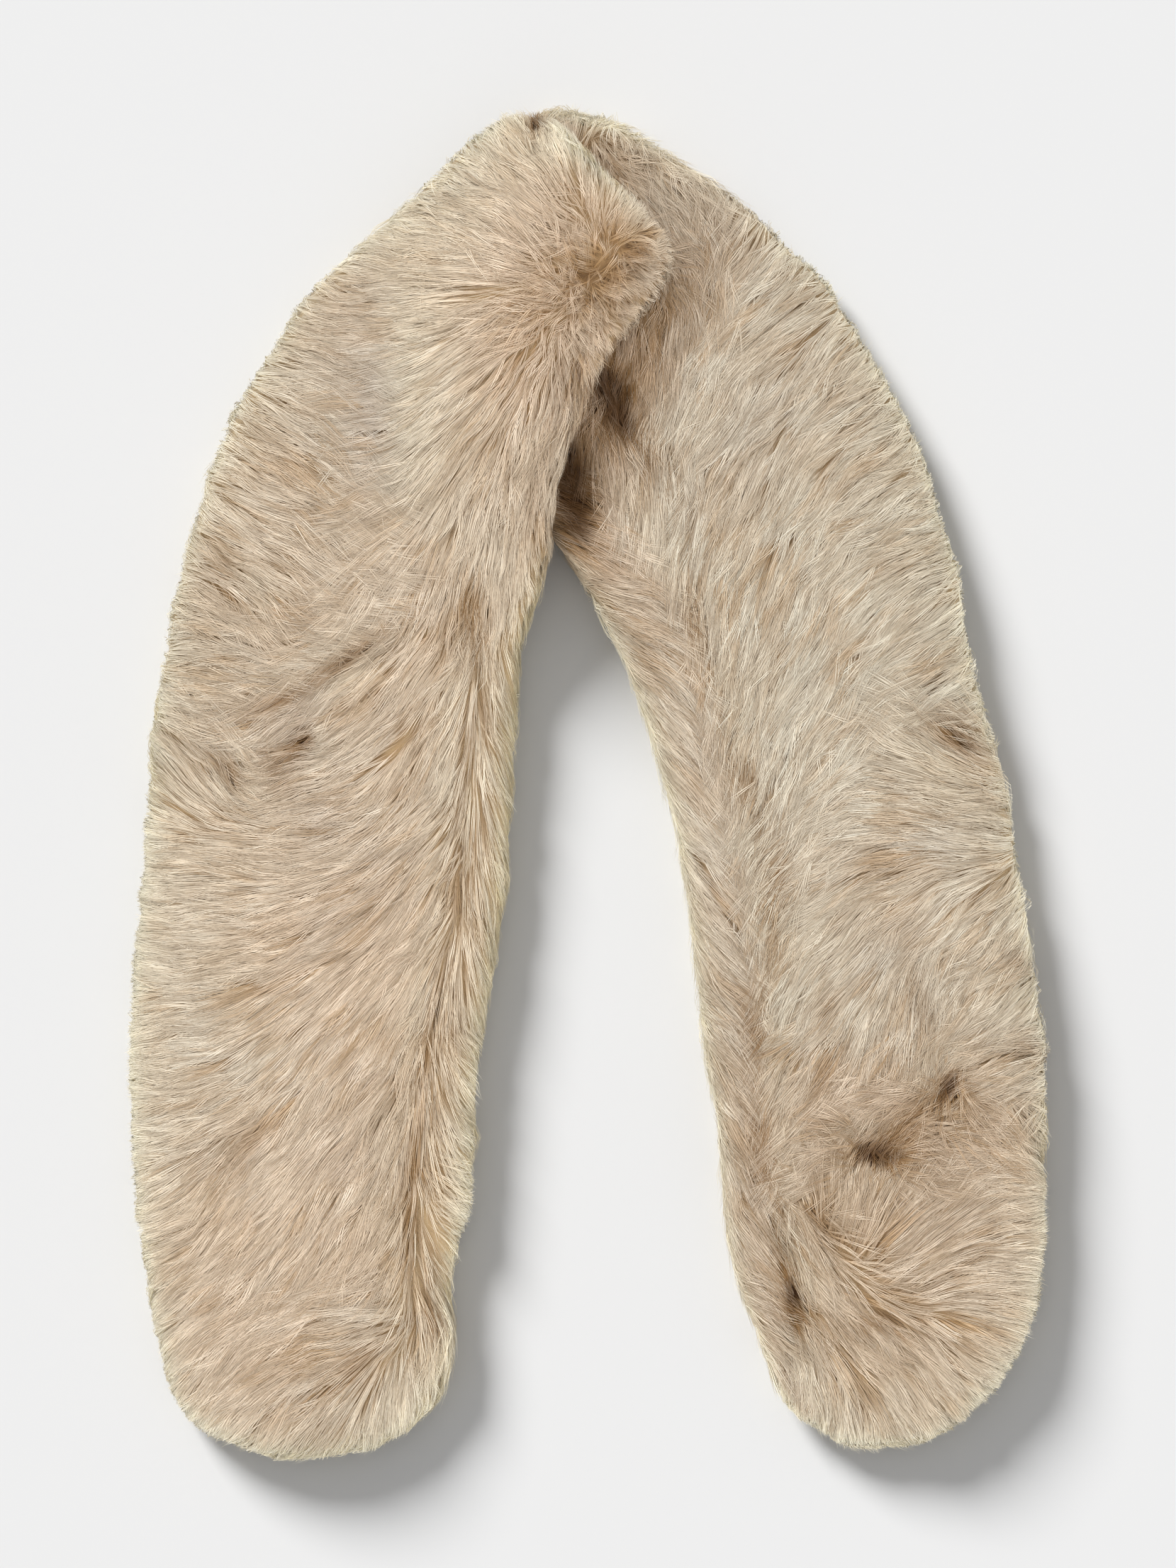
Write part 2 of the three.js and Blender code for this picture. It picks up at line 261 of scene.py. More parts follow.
def freedom(arm, places, outs):
    """1 where a corner of an arm has room for hair in front of it, and 0 where it is covered."""
    others = [n for other, nodes in ARMS.items() if other != arm for n in nodes]
    tree = solid_tree(others)
    free = np.ones(len(places))
    for i, (place, out) in enumerate(zip(places, outs)):
        on_table = out[2] < UNDERSIDE and place[2] < TABLE_ROOM
        hit = tree.ray_cast(Vector(place), Vector(out), FREE_ROOM)[0]
        if on_table or hit is not None:
            free[i] = 0.0
    return free


def spread(mesh, values, rounds):
    """Values at the corners, averaged along the edges for some rounds."""
    ends = np.array([e.vertices[:] for e in mesh.edges])
    count = np.bincount(ends.ravel(), minlength=len(values))
    for _ in range(rounds):
        total = np.bincount(ends[:, 0], values[ends[:, 1]], len(values))
        total += np.bincount(ends[:, 1], values[ends[:, 0]], len(values))
        values = 0.5 * values + 0.5 * total / np.maximum(count, 1)
    return values


skins = {}
for arm, made in forms.items():
    skin = made.data.copy()
    skin.name = arm + "_skin"
    places, outs = corners(skin), corner_normals(skin)
    free = freedom(arm, places, outs)
    depth = PILE_DEPTH * (FOLD_SHARE if arm == "neck_fold" else 1)
    depth = depth * (SIDE_SHARE + (1 - SIDE_SHARE) * np.clip(outs[:, 2], 0, 1))
    places -= outs * (depth * spread(skin, free, COVER_ROUNDS))[:, None]
    places[:, 2] = np.maximum(places[:, 2], OFF_THE_TABLE)
    skin.vertices.foreach_set("co", places.ravel())
    skin.update()
    keep_value(skin, "cover", free)
    skins[arm] = skin
    print(arm, "skin: free corners", int(free.sum()), "of", len(free))

# %% [markdown]
# ## How the fur is combed
# On the real wrap the hair lies in one direction along the strip, from the right arm's end over the neck to
# the left arm's. On the right arm it runs into the seam, on the left arm away from it, and at the ridge and
# the right end it fans out. Tables give the heading at places that show it, in millimetres from the middle
# of the wrap and degrees from the right, and the skin takes a smooth mean of the nearest ones.

# %% Comb tables: x, y, heading
LEFT_FACE = [
    # Outer edge of the upper arm, combed inwards
    (-60, 215, -25), (-40, 225, -38), (-80, 195, -5), (-95, 180, -8), (-110, 170, -12), (-100, 150, -25),
    (-120, 130, -30), (-100, 140, -40), (-130, 100, -28), (-110, 110, -35), (-90, 120, -28), (-150, 85, -28),
    (-130, 90, -40), (-135, 78, -50), (-140, 60, -10), (-120, 60, -8), (-100, 65, -4), (-150, 40, -10),
    (-130, 45, -10), (-110, 50, -12),
    # Round the hollow, flowing past it to the outer edge
    (-140, 26, 150), (-134, 16, 132), (-128, 6, 127), (-122, -4, 128), (-113, -11, 150), (-100, -14, 172),
    (-88, -13, 188), (-100, 10, 204), (-98, 0, 200), (-103, 22, 206), (-118, 29, 192), (-128, 30, 176),
    # Ridge at the neck, fanning out all round, and the notch above it
    (25, 195, -20), (22, 205, 15), (15, 212, 65), (0, 215, 110), (-15, 215, 140), (-25, 200, 165),
    (-30, 190, 175), (-25, 178, 195), (-20, 165, 225), (-8, 158, 250), (5, 165, 280), (20, 180, 310),
    (-28, 243, 105), (-20, 235, 115), (6, 202, 130), (-4, 192, 160), (-13, 182, 182), (-19, 172, 208),
    (20, 189, -38), (11, 180, -45), (3, 171, -60), (-5, 162, -88), (28, 203, 8), (22, 211, 50),
    # Below the ridge, combed to the trough and down
    (-50, 195, 178), (-60, 180, 184), (-60, 165, 188), (-70, 150, 188), (-70, 130, 195), (-65, 110, 200),
    (-50, 150, 215), (-40, 150, 228), (-45, 130, 232), (-40, 120, 243), (-30, 140, 245), (-20, 130, 255),
    (-20, 110, 262), (-30, 100, 266), (-45, 100, 245), (-60, 85, 232), (-45, 80, 250), (-35, 85, 262),
    # Middle of the arm, from the seam to the outer edge
    (-70, 60, 222), (-85, 50, 222), (-95, 45, 222), (-75, 45, 220), (-60, 50, 230), (-50, 40, 240),
    (-110, 36, 212), (-90, 30, 205), (-70, 30, 215), (-50, 20, 240), (-60, 10, 228), (-80, 10, 205),
    (-85, -5, 198), (-60, -10, 225), (-50, -10, 238), (-150, -30, 176), (-130, -35, 180),
    (-110, -30, 184), (-90, -25, 192), (-75, -30, 205), (-60, -30, 222), (-50, -35, 240), (-110, -50, 186),
    (-90, -50, 200), (-75, -55, 218), (-60, -60, 235), (-150, -60, 176),
    # Lower arm and its end
    (-160, -80, 172), (-140, -80, 182), (-120, -80, 197), (-110, -85, 215), (-90, -80, 225), (-70, -80, 243),
    (-150, -110, 184), (-130, -100, 195), (-120, -115, 210), (-100, -100, 228), (-80, -95, 236),
    (-72, -110, 248), (-140, -125, 197), (-125, -132, 240), (-110, -130, 222), (-90, -115, 232),
    (-80, -125, 240), (-85, -137, 245), (-160, -130, 182), (-155, -150, 190), (-140, -150, 210),
    (-120, -150, 230), (-100, -150, 232), (-80, -150, 240), (-150, -170, 210), (-130, -175, 222),
    (-110, -170, 230), (-90, -165, 230), (-75, -165, 242), (-90, -182, 204), (-78, -185, 190),
    (-85, -195, 195), (-150, -195, 220), (-130, -200, 223), (-110, -205, 220), (-88, -212, 210),
    (-130, -225, 225), (-110, -235, 235), (-90, -235, 242), (-75, -235, 252), (-65, -220, 265),
]
LEFT_BAND = [
    (-25, 120, 268), (-15, 110, -75), (-12, 100, -60), (-18, 85, -65), (-25, 70, -62), (-35, 60, -75),
    (-30, 40, -62), (-35, 20, -62), (-30, 0, -65), (-32, -20, -66), (-40, -40, -68), (-45, -70, -66),
    (-50, -90, -60), (-45, -110, -55), (-50, -122, -48), (-50, -137, -45), (-50, -155, -10), (-50, -167, -50),
    (-55, -177, -75), (-55, -190, -85), (-52, -210, -88), (-60, -218, -92),
]
RIGHT_FACE = [
    # Top of the arch, combed down to the seam
    (-10, 245, 80), (10, 235, -45), (25, 222, -50), (35, 208, -65), (45, 203, 270), (52, 215, 250),
    (65, 210, 235), (70, 195, 228), (80, 180, 222), (60, 185, 238), (50, 180, 252), (40, 175, 262),
    (90, 160, 225), (100, 150, 224), (110, 130, 218), (120, 110, 214), (125, 90, 205), (60, 150, 240),
    (45, 150, 255), (30, 150, 262), (25, 135, 277), (60, 120, 248), (80, 120, 240), (100, 120, 228),
    (50, 100, 262), (70, 95, 250), (90, 90, 245), (100, 100, 232), (45, 85, 275), (60, 80, 260),
    # Middle of the arm
    (80, 80, 247), (100, 80, 238), (120, 80, 225), (130, 60, 220), (120, 50, 228), (100, 50, 236),
    (80, 50, 241), (62, 50, 252), (50, 55, 268), (140, 40, 215), (100, 20, 240), (80, 20, 253),
    (65, 20, 262), (112, 12, 225), (110, 0, 210), (130, 18, 145), (140, 8, 148), (125, 8, 142),
    (130, -5, 176), (145, -8, 172), (120, -15, 196), (100, -15, 213), (88, -10, 230), (78, -15, 247),
    (120, -30, 200), (100, -38, 217), (118, -45, 235), (140, -45, 222), (152, -45, 228), (110, -58, 228),
    (92, -45, 235), (80, -60, 242), (72, -60, 262), (120, -70, 262), (130, -68, 268), (142, -70, 243),
    (155, -70, 222), (80, -82, 238), (76, -100, 252), (90, -95, 228), (100, -85, 226), (113, -78, 258),
    (122, -88, 268), (132, -92, 238), (146, -88, 222), (157, -95, 198),
    # Tangles above the end
    (125, -105, 215), (142, -112, -40), (152, -122, -55), (157, -132, -30), (115, -115, 222), (95, -112, 232),
    (85, -118, 240), (100, -128, 200), (112, -128, -30), (118, -138, -20), (135, -140, -15),
    # End of the arm, fanning out, and the lock that crosses it
    (95, -165, 88), (103, -165, 70), (114, -163, 55), (128, -157, 42), (120, -177, 18), (132, -178, 8),
    (150, -165, -3), (150, -150, -2), (150, -185, -7), (140, -197, -14), (118, -205, -45), (130, -207, -38),
    (142, -207, -30), (110, -217, -60), (122, -225, -53), (100, -220, -72), (132, -227, -47), (90, -227, -82),
    (82, -235, -95), (75, -215, -90), (76, -171, -52), (81, -180, -47), (90, -190, -43), (100, -199, -38),
    (105, -174, 55), (112, -180, 30),
]
RIGHT_BAND = [
    (-2, 122, -30), (8, 117, -35), (18, 103, -42), (4, 100, -28), (10, 82, -20), (24, 76, -26),
    (34, 86, -52), (15, 68, -30), (25, 55, -38), (20, 40, -45), (36, 50, -68), (30, 20, -45), (42, 30, -78),
    (30, 0, -50), (45, 5, -65), (40, -10, -52), (55, -5, -70), (35, -30, -45), (50, -40, -58),
    (62, -20, -75), (45, -60, -48), (58, -65, -68), (40, -75, -45), (50, -90, -52), (58, -100, -68),
    (45, -120, -60), (55, -115, -65), (60, -140, -65), (52, -150, -60), (62, -160, -62), (65, -172, -58),
    (55, -180, -45), (68, -195, -30), (74, -210, -88), (70, -225, -95),
]
COMB_REACH = 10.0
# How little a far row of a table still counts
FAR_SHARE = 1e-4
FARTHEST = 60


def nearness(table, places, reach):
    """How much each row of a table counts at each place: most where it is near."""
    apart = ((places[:, None, :2] / MM - table[None, :, :2]) ** 2).sum(axis=2) / reach ** 2
    return np.exp(-np.minimum(apart, FARTHEST)) + FAR_SHARE / (1 + apart) ** 2


def combed(rows, places):
    """The heading of the hair at places in the plane. Rows that point against each other keep their line."""
    table = np.array(rows, dtype=float)
    turn = np.radians(table[:, 2])
    weight = nearness(table, places, COMB_REACH)
    line = 0.5 * np.arctan2(weight @ np.sin(2 * turn), weight @ np.cos(2 * turn))
    heading = np.stack([np.cos(line), np.sin(line)], axis=1)
    mean = weight @ np.stack([np.cos(turn), np.sin(turn)], axis=1)
    return heading * np.where((heading * mean).sum(axis=1) < 0, -1.0, 1.0)[:, None]


FACE_ROWS = {"left": LEFT_FACE, "right": RIGHT_FACE, "neck_fold": LEFT_FACE}
BAND_ROWS = {"left": LEFT_BAND, "right": RIGHT_BAND, "neck_fold": []}
print("comb rows:", {arm: len(FACE_ROWS[arm]) + len(BAND_ROWS[arm]) for arm in ARMS})

# %% [markdown]
# ## Seams, pits and low sides
# Hair stays on its own strip: where it would cross the seam it is cut shorter, and it overlaps the seam a
# little, as sewn fur does. Pits stay open in the same way. Low on the sides the hair hangs down to the table,
# so hair that was combed inwards there turns round, and a thin parting runs along the place where it turns.

# %% Comb the skins
HAIR_LENGTH = 30 * MM
SEAM_STEP = 2 * MM
SEAM_OVERLAP = 8 * MM
SHORTEST = 0.35
# A surface that leans above this counts as the upper side
UPPER_SIDE = 0.2
# Pits that no hair covers: x, y, half length, half width, heading
PITS = {
    "left": [(-19, 245, 7, 2.5, 85), (-106, 16, 5, 4, 60), (-131, 4, 7, 3, 122), (-88, 48, 12, 2.5, 38)],
    "right": [
        (11, 141, 13, 4, -63), (-6, 113, 12, 5, -78), (134, -110, 6, 4, 70), (106, -136, 8, 4, -15),
        (77, -189, 8, 3, -80), (136, 19, 10, 3, -38)],
    "neck_fold": [],
}
# Below this lean of the surface the hair hangs down to the table
HANGING = -0.7
LOW_PARTING_WIDTH = 0.2


def nearer_panel(arm, places):
    """True where the front panel is the nearer of an arm's two solids."""
    front, back = (solid_tree([n]) for n in ARMS[arm])
    near = [(front.find_nearest(Vector(p))[3], back.find_nearest(Vector(p))[3]) for p in places]
    return np.array([a < b for a, b in near])


def seam_reach(places, outs, heading, front):
    """How much of its length the hair can keep before it would cross the seam, from 0 to 1."""
    upper = np.flatnonzero(outs[:, 2] > UPPER_SIDE)
    tree = KDTree(len(upper))
    for i in upper:
        tree.insert((*places[i, :2], 0.0), int(i))
    tree.balance()
    reach = np.ones(len(places))
    for i in upper:
        for step in np.arange(SEAM_STEP, HAIR_LENGTH, SEAM_STEP):
            spot = places[i, :2] + step * heading[i]
            if front[tree.find((*spot, 0.0))[1]] != front[i]:
                reach[i] = max((step + SEAM_OVERLAP) / HAIR_LENGTH, SHORTEST)
                break
    return np.minimum(reach, 1.0)


def pit_reach(arm, places, heading):
    """How much of its length the hair can keep before it would cover a pit, from 0 to 1."""
    def within(spots):
        return sum((soft_spot(spots, *pit) for pit in PITS[arm]), np.zeros(len(spots))) > exp(-1)

    outside, reach = ~within(places), np.ones(len(places))
    for step in np.arange(HAIR_LENGTH, 0, -SEAM_STEP):
        enters = outside & within(places[:, :2] + step * heading)
        reach[enters] = max(step / HAIR_LENGTH, 0.5 * SHORTEST)
    return reach


on_front, low_parting = {}, {}
for arm, made in forms.items():
    skin = skins[arm]
    places, outs = corners(made.data), corner_normals(skin)
    front = np.ones(len(places), bool) if arm == "neck_fold" else nearer_panel(arm, places)
    heading = combed(FACE_ROWS[arm], places)
    if BAND_ROWS[arm]:
        heading[~front] = combed(FACE_ROWS[arm] + BAND_ROWS[arm], places)[~front]
    inwards = (heading * outs[:, :2]).sum(axis=1) < 0
    low_parting[arm] = inwards * np.exp(-((outs[:, 2] - HANGING) / LOW_PARTING_WIDTH) ** 2)
    heading[(outs[:, 2] < HANGING) & inwards] *= -1
    keep_value(skin, "heading", np.column_stack([heading, np.zeros(len(places))]))
    reach = np.minimum(seam_reach(places, outs, heading, front), pit_reach(arm, places, heading))
    keep_value(skin, "reach", reach)
    on_front[arm] = front
    print(arm, "front corners", int(front.sum()), "of", len(front))

# %% [markdown]
# ## Partings, shaded places and tints
# Where the hair parts it shows its brown roots. Deep places between the layers get painted shade in brown
# and darker brown, and hollows get a grey painted shade. The left arm is pinker than the right one, and hair
# at the edges gets a cream painted light, for the light that comes through the thin hair there. Small tables
# give these places in millimetres, and each becomes a number on the skin.

# %% Tone tables
# Partings and pits: x, y, radius, strength
PARTINGS = [
    (-106, 16, 6, 0.8), (-132, 4, 7, 0.7), (-126, 72, 9, 0.5), (-45, 70, 9, 0.5), (-55, -80, 8, 0.5),
    (-61, -96, 8, 0.5), (-64, -140, 8, 0.6), (-68, -165, 8, 0.5), (-59, -197, 9, 0.5), (-125, -130, 8, 0.5),
    (-88, -212, 9, 0.5), (-17, 240, 8, 0.8), (14, 197, 8, 0.5), (4, 189, 8, 0.5), (-4, 181, 8, 0.4),
    (72, -30, 6, 0.7), (70, 5, 6, 0.5), (55, 5, 6, 0.4), (60, -20, 6, 0.5), (65, -75, 7, 0.5),
    (62, -88, 7, 0.5), (67, -140, 8, 0.4), (76, -190, 9, 0.6),
    (85, -90, 8, 0.4), (122, -85, 8, 0.5), (133, -110, 8, 1.0), (106, -136, 10, 1.0), (103, -198, 9, 0.4),
    (122, -220, 8, 0.4), (120, -38, 8, 0.4), (140, -48, 8, 0.4),
]
# Valleys and creases with painted shade, brown and deeper brown: x, y, half length, half width, heading,
# strength
VALLEYS = {
    "left": [
        (16, 196, 4, 2.5, 60, 0.8), (9, 189, 4, 2.5, 30, 0.7), (-1, 186, 6, 3, 20, 0.6),
        (0, 176, 5, 3, -30, 0.5), (-19, 244, 9, 4, 85, 1.2), (-88, 48, 16, 4, 38, 1.0),
        (-116, 31, 14, 4, 22, 0.9), (-106, 16, 6, 5, 60, 1.3), (-132, 4, 10, 4, 122, 1.1),
        (-115, 6, 11, 4, -60, 0.5), (-42, 66, 9, 4, -80, 0.45), (-55, -82, 9, 4, -60, 0.45),
        (-63, -138, 9, 4, -75, 0.45), (-66, -163, 8, 4, -80, 0.4), (-59, -198, 9, 4, -75, 0.45),
        (-124, -131, 8, 4, 40, 0.6), (-88, -213, 9, 4, 30, 0.6)],
    "right": [
        (8, 230, 24, 9, -30, 0.35), (42, 190, 28, 12, 75, 0.3), (22, 162, 18, 8, 60, 0.5),
        (9, 143, 19, 8, -65, 1.9), (-5, 108, 20, 8, -75, 1.8), (2, 122, 14, 8, -70, 0.5),
        (136, 19, 14, 5, -38, 0.9), (120, -150, 55, 60, 90, 0.3), (134, -110, 7, 5, 70, 1.3),
        (106, -136, 10, 5, -15, 1.5), (120, -123, 16, 9, 40, 0.45), (77, -189, 12, 5, -80, 1.0),
        (106, -198, 12, 4, 5, 0.7), (86, -160, 12, 4, -75, 0.6), (61, -89, 9, 4, -70, 0.6),
        (63, -131, 10, 4, -85, 0.5), (89, -104, 8, 4, 60, 0.6), (70, -30, 10, 4, -75, 0.5),
        (60, -2, 10, 4, -75, 0.4), (43, 56, 12, 4, -75, 0.3), (88, -82, 7, 4, 65, 0.7),
        (121, -78, 14, 4, -70, 0.6), (158, -66, 9, 4, -45, 0.5), (162, -98, 9, 4, -30, 0.6)],
    "neck_fold": [(8, 230, 24, 9, -30, 0.6)],
}
# Tousled places, where short hair stands up: x, y, radius, how tousled, and how far it stands up
TOUSLES = [
    (14, 196, 13, 1.0, 4.0), (4, 190, 12, 1.0, 4.0), (-6, 182, 12, 0.9, 4.0), (-8, 171, 10, 0.7, 3.0),
    (28, 200, 9, 0.3, 2.0), (4, 152, 14, 0.3, 4.0), (-8, 122, 12, 0.3, 3.0), (5, 243, 13, 0.9, 4.5),
    (-20, 244, 9, 0.3, 2.0), (24, 231, 15, 0.3, 2.0), (118, -122, 16, 0.4, 2.0), (134, -110, 9, 0.3, 1.5),
    (106, -136, 10, 0.3, 1.5),
]
# Seams, where brown roots show and the gaps between locks get painted shade: x, y
SEAMS = {
    "left": [
        (-45, 70), (-40, 40), (-42, 0), (-45, -30), (-48, -60), (-55, -85), (-62, -115), (-63, -140),
        (-66, -160), (-62, -180), (-58, -200)],
    "right": [
        (20, 130), (35, 100), (42, 60), (50, 20), (60, 0), (70, -30), (68, -60), (63, -95), (67, -140),
        (72, -165), (78, -195)],
    "neck_fold": [],
}
SEAM_WIDTH = 6.0
# Hollows with a grey painted shade: x, y, half length, half width, heading, strength
SHADED_HOLLOWS = [
    (-80, 140, 36, 12, 90, 0.8), (-107, 14, 14, 9, 60, 0.8), (-98, -12, 14, 8, 70, 0.5),
    (-85, -137, 10, 9, 0, 0.4), (-85, -40, 25, 12, 60, 0.3), (115, -25, 30, 10, 20, 0.35),
    (110, -60, 20, 10, 50, 0.3), (60, 130, 40, 20, 60, 0.25), (-110, 30, 14, 8, 30, 0.5),
]
# Warmth: x, y, 0 for cream and 1 for rosy beige
WARMTH = [
    (-100, 190, 0.7), (-120, 110, 0.6), (-85, 140, 0.3), (0, 190, 0.9), (-40, 120, 0.7), (-130, 0, 0.45),
    (-80, 10, 0.6), (-60, -60, 0.8), (-140, -90, 0.4), (-90, -140, 0.75), (-120, -200, 0.8), (-70, -230, 0.5),
    (40, 210, 0.35), (90, 175, 0.2), (60, 140, 0.2), (100, 100, 0.1), (80, 50, 0.1), (130, 60, 0.1),
    (30, 40, 0.4), (110, 0, 0.2), (150, -20, 0.3), (90, -50, 0.15), (45, -60, 0.4), (140, -70, 0.3),
    (120, -110, 0.8), (60, -130, 0.5), (130, -160, 0.6), (100, -190, 0.6), (130, -225, 0.5), (80, -235, 0.4),
]
WARMTH_REACH = 25.0
# The most that tousled hair stands up, in millimetres
HIGHEST = 6.0
# How much creamier the rolled band is than the face
BAND_CREAM = {"left": 0.3, "right": -0.25, "neck_fold": 0.0}
# Edges that lie over the other arm, where the hair gets little painted edge light and stays golden: x, y,
# radius
INNER_EDGES = [(36, 205, 22), (18, 170, 24), (2, 140, 24), (-10, 105, 22)]
LEAST_CREAM = 0.25
# The edge tone, painted light in the colour, begins where the surface leans away from the top, and grows at
# this rate
EDGE_START = 1.08
EDGE_RATE = 1.6
LOW_PARTING_TOUSLE = 0.25


def seam_tone(places, line):
    """1 on a line through some places and 0 away from it."""
    flat, near = places[:, :2] / MM, np.full(len(places), 1e6)
    for start, end in zip(np.array(line[:-1], dtype=float), np.array(line[1:], dtype=float)):
        run = end - start
        share = np.clip((flat - start) @ run / (run @ run), 0, 1)
        near = np.minimum(near, np.linalg.norm(flat - start - share[:, None] * run, axis=1))
    return np.exp(-(near / SEAM_WIDTH) ** 2)


def tones(arm, places):
    """How parted, shaded, grey in hollows, warm and so on the fur is at places, each from 0 to 1; shade and
    grey are painted shade.
    """
    parted = sum(s * soft_spot(places, x, y, r, r, 0) for x, y, r, s in PARTINGS)
    shaded = sum(s * soft_spot(places, x, y, lo, wi, t) for x, y, lo, wi, t, s in VALLEYS[arm])
    grey = sum(s * soft_spot(places, x, y, lo, wi, t) for x, y, lo, wi, t, s in SHADED_HOLLOWS)
    table = np.array(WARMTH)
    weight = nearness(table, places, WARMTH_REACH)
    warm = weight @ table[:, 2] / weight.sum(axis=1)
    tousled = sum(s * soft_spot(places, x, y, r, r, 0) for x, y, r, s, _ in TOUSLES)
    tousled = tousled + LOW_PARTING_TOUSLE * low_parting[arm]
    standing = sum(h * soft_spot(places, x, y, r, r, 0) for x, y, r, _, h in TOUSLES) / HIGHEST
    return {
        "parted": parted, "shaded": shaded, "grey": grey, "warm": warm, "tousled": tousled,
        "standing": standing, "seam": seam_tone(places, SEAMS[arm])}


for arm, skin in skins.items():
    for name, values in tones(arm, corners(skin)).items():
        keep_value(skin, name, np.clip(values, 0, 1))
        print(arm, name, "mean", round(float(values.mean()), 3))
    # Painted edge light: creamier where the surface leans away from the top, less on edges over the other
    # arm; the same tone makes edge hair fluffier and denser
    edge = EDGE_RATE * (EDGE_START - corner_normals(forms[arm].data)[:, 2])
    edge[~on_front[arm]] += BAND_CREAM[arm]
    covered = sum(soft_spot(corners(skin), x, y, r, r, 0) for x, y, r in INNER_EDGES)
    edge = np.clip(edge, 0, 1) * np.clip(1 - covered, LEAST_CREAM, 1)
    keep_value(skin, "edge", edge)

# %% [markdown]
# ## The finish of the fur
# Each hair is brown at the root, beige along its length and cream at the tip. Locks differ a little in
# tint. The material reads those from attributes that the node tree leaves on each hair, so the colour
# belongs to the hair and not to the place of the camera.


# %% Fur material
def linear(red, green, blue):
    """A colour given in screen values, as the shader needs it."""
    share = np.array([red, green, blue]) / 255.0
    low = share / 12.92
    high = ((share + 0.055) / 1.055) ** 2.4
    return (*np.where(share <= 0.04045, low, high), 1.0)


ROOT = linear(188, 147, 96)
ROSE = linear(230, 206, 181)
CREAM = linear(222, 219, 204)
TIP = linear(250, 244, 230)
# Painted light: cream at the edges, where light comes through thin hair
LIT_EDGE_CREAM = linear(243, 237, 213)
# Painted shade: grey in the hollows
HOLLOW_SHADE_GREY = linear(188, 176, 166)
GOLD = linear(184, 143, 88)
# Brown of roots at partings, and painted shade in valleys and seam gaps
ROOT_AND_SHADE_BROWN = linear(154, 112, 58)
# Painted shade: the darkest brown, in pits and deep valleys
DEEP_SHADE = linear(82, 50, 20)
FELT_DARK = linear(182, 146, 100)
FELT_PALE = linear(208, 182, 142)
# Painted light on the underfur at the edges
LIT_FELT_EDGE = linear(204, 182, 146)
FELT_TOUSLED = linear(184, 156, 118)
# How much of each colour the hair takes on where its tone is full: edge cream is painted light, grey and deep
# painted shade, brown part roots and part painted shade
LIT_EDGE_SHARE, HOLLOW_SHADE_SHARE, TUFT_SHARE, ROOT_AND_SHADE_BROWN_SHARE, DEEP_SHADE_SHARE = 0.9, 0.8, 0.3, 0.9, 0.95
GOLD_SHARE, GOLD_LOST_AT_EDGE = 0.42, 0.32
# How far up the root colour reaches at partings and in some locks, and how fast it fades
ROOT_AT_PARTING, ROOT_IN_LOCK, ROOT_FADE = 0.4, 0.2, 2.6
# Threads of light: how many lie across a sprig, how far apart sprigs draw, and where they begin
THREADS, THREAD_SPREAD, THREAD_START, TIP_CURVE = 3.0, 71.0, 0.25, 1.5
# The golden locks, and what makes the brown of roots and painted shade uneven
GOLD_LOCKS_FROM, GOLD_LOCK_RATE = 0.7, 3.3
UNEVEN_LOCK, UNEVEN_HAIR, SHADE_BROWN_LEAST, BROWN_AT_PARTING = 0.5, 0.8, 0.3, 0.3
STREAKS_FROM, STREAK_RATE, STREAK_AT_SEAM = 0.5, 1.8, 0.75
# Where the deep painted shade begins, and how fast it grows
DEEP_SHADE_FROM, DEEP_SHADE_RATE = 0.6, 2.0
# Lightness of the dullest hair, what strand adds, and the painted light that edge adds
DULLEST, STRAND_LIGHT, EDGE_LIGHT = 0.73, 0.52, 0.13


def add_node(tree, kind, inputs=None, **settings):
    """A node with its settings, and its inputs set to values or linked to sockets."""
    made = tree.nodes.new(kind)
    for name, value in settings.items():
        setattr(made, name, value)
    for key, value in (inputs or {}).items():
        socket = made.inputs[key]
        if isinstance(value, bpy.types.NodeSocket):
            tree.links.new(value, socket)
        else:
            socket.default_value = value
    return made


def reckoned(tree, work, first, second=0.0, clamp=False):
    """Two numbers worked into one, as a socket."""
    return add_node(tree, "ShaderNodeMath", {0: first, 1: second}, operation=work, use_clamp=clamp).outputs[0]


def plus(tree, first, second, clamp=False):
    """A sum, as a socket."""
    return reckoned(tree, "ADD", first, second, clamp)


def minus(tree, first, second):
    """A difference, as a socket."""
    return reckoned(tree, "SUBTRACT", first, second)


def times(tree, first, second, clamp=False):
    """A product, as a socket."""
    return reckoned(tree, "MULTIPLY", first, second, clamp)


def grown_by(tree, share, rate):
    """1 plus a share times a rate, as a socket."""
    inputs = {0: share, 1: rate, 2: 1.0}
    return add_node(tree, "ShaderNodeMath", inputs, operation="MULTIPLY_ADD").outputs[0]


def mixed(tree, share, first, second):
    """Two colours mixed in a shader tree, as a socket."""
    return add_node(tree, "ShaderNodeMix", {0: share, 6: first, 7: second}, data_type="RGBA").outputs[2]


def attribute(tree, name):
    """A number that the hair carries, as a socket of a shader tree."""
    return add_node(tree, "ShaderNodeAttribute", attribute_name=name).outputs["Fac"]


HAIR_VALUES = (
    "along", "across", "lock", "tuft", "strand", "warm", "edge", "grey", "parted", "shaded", "seam")


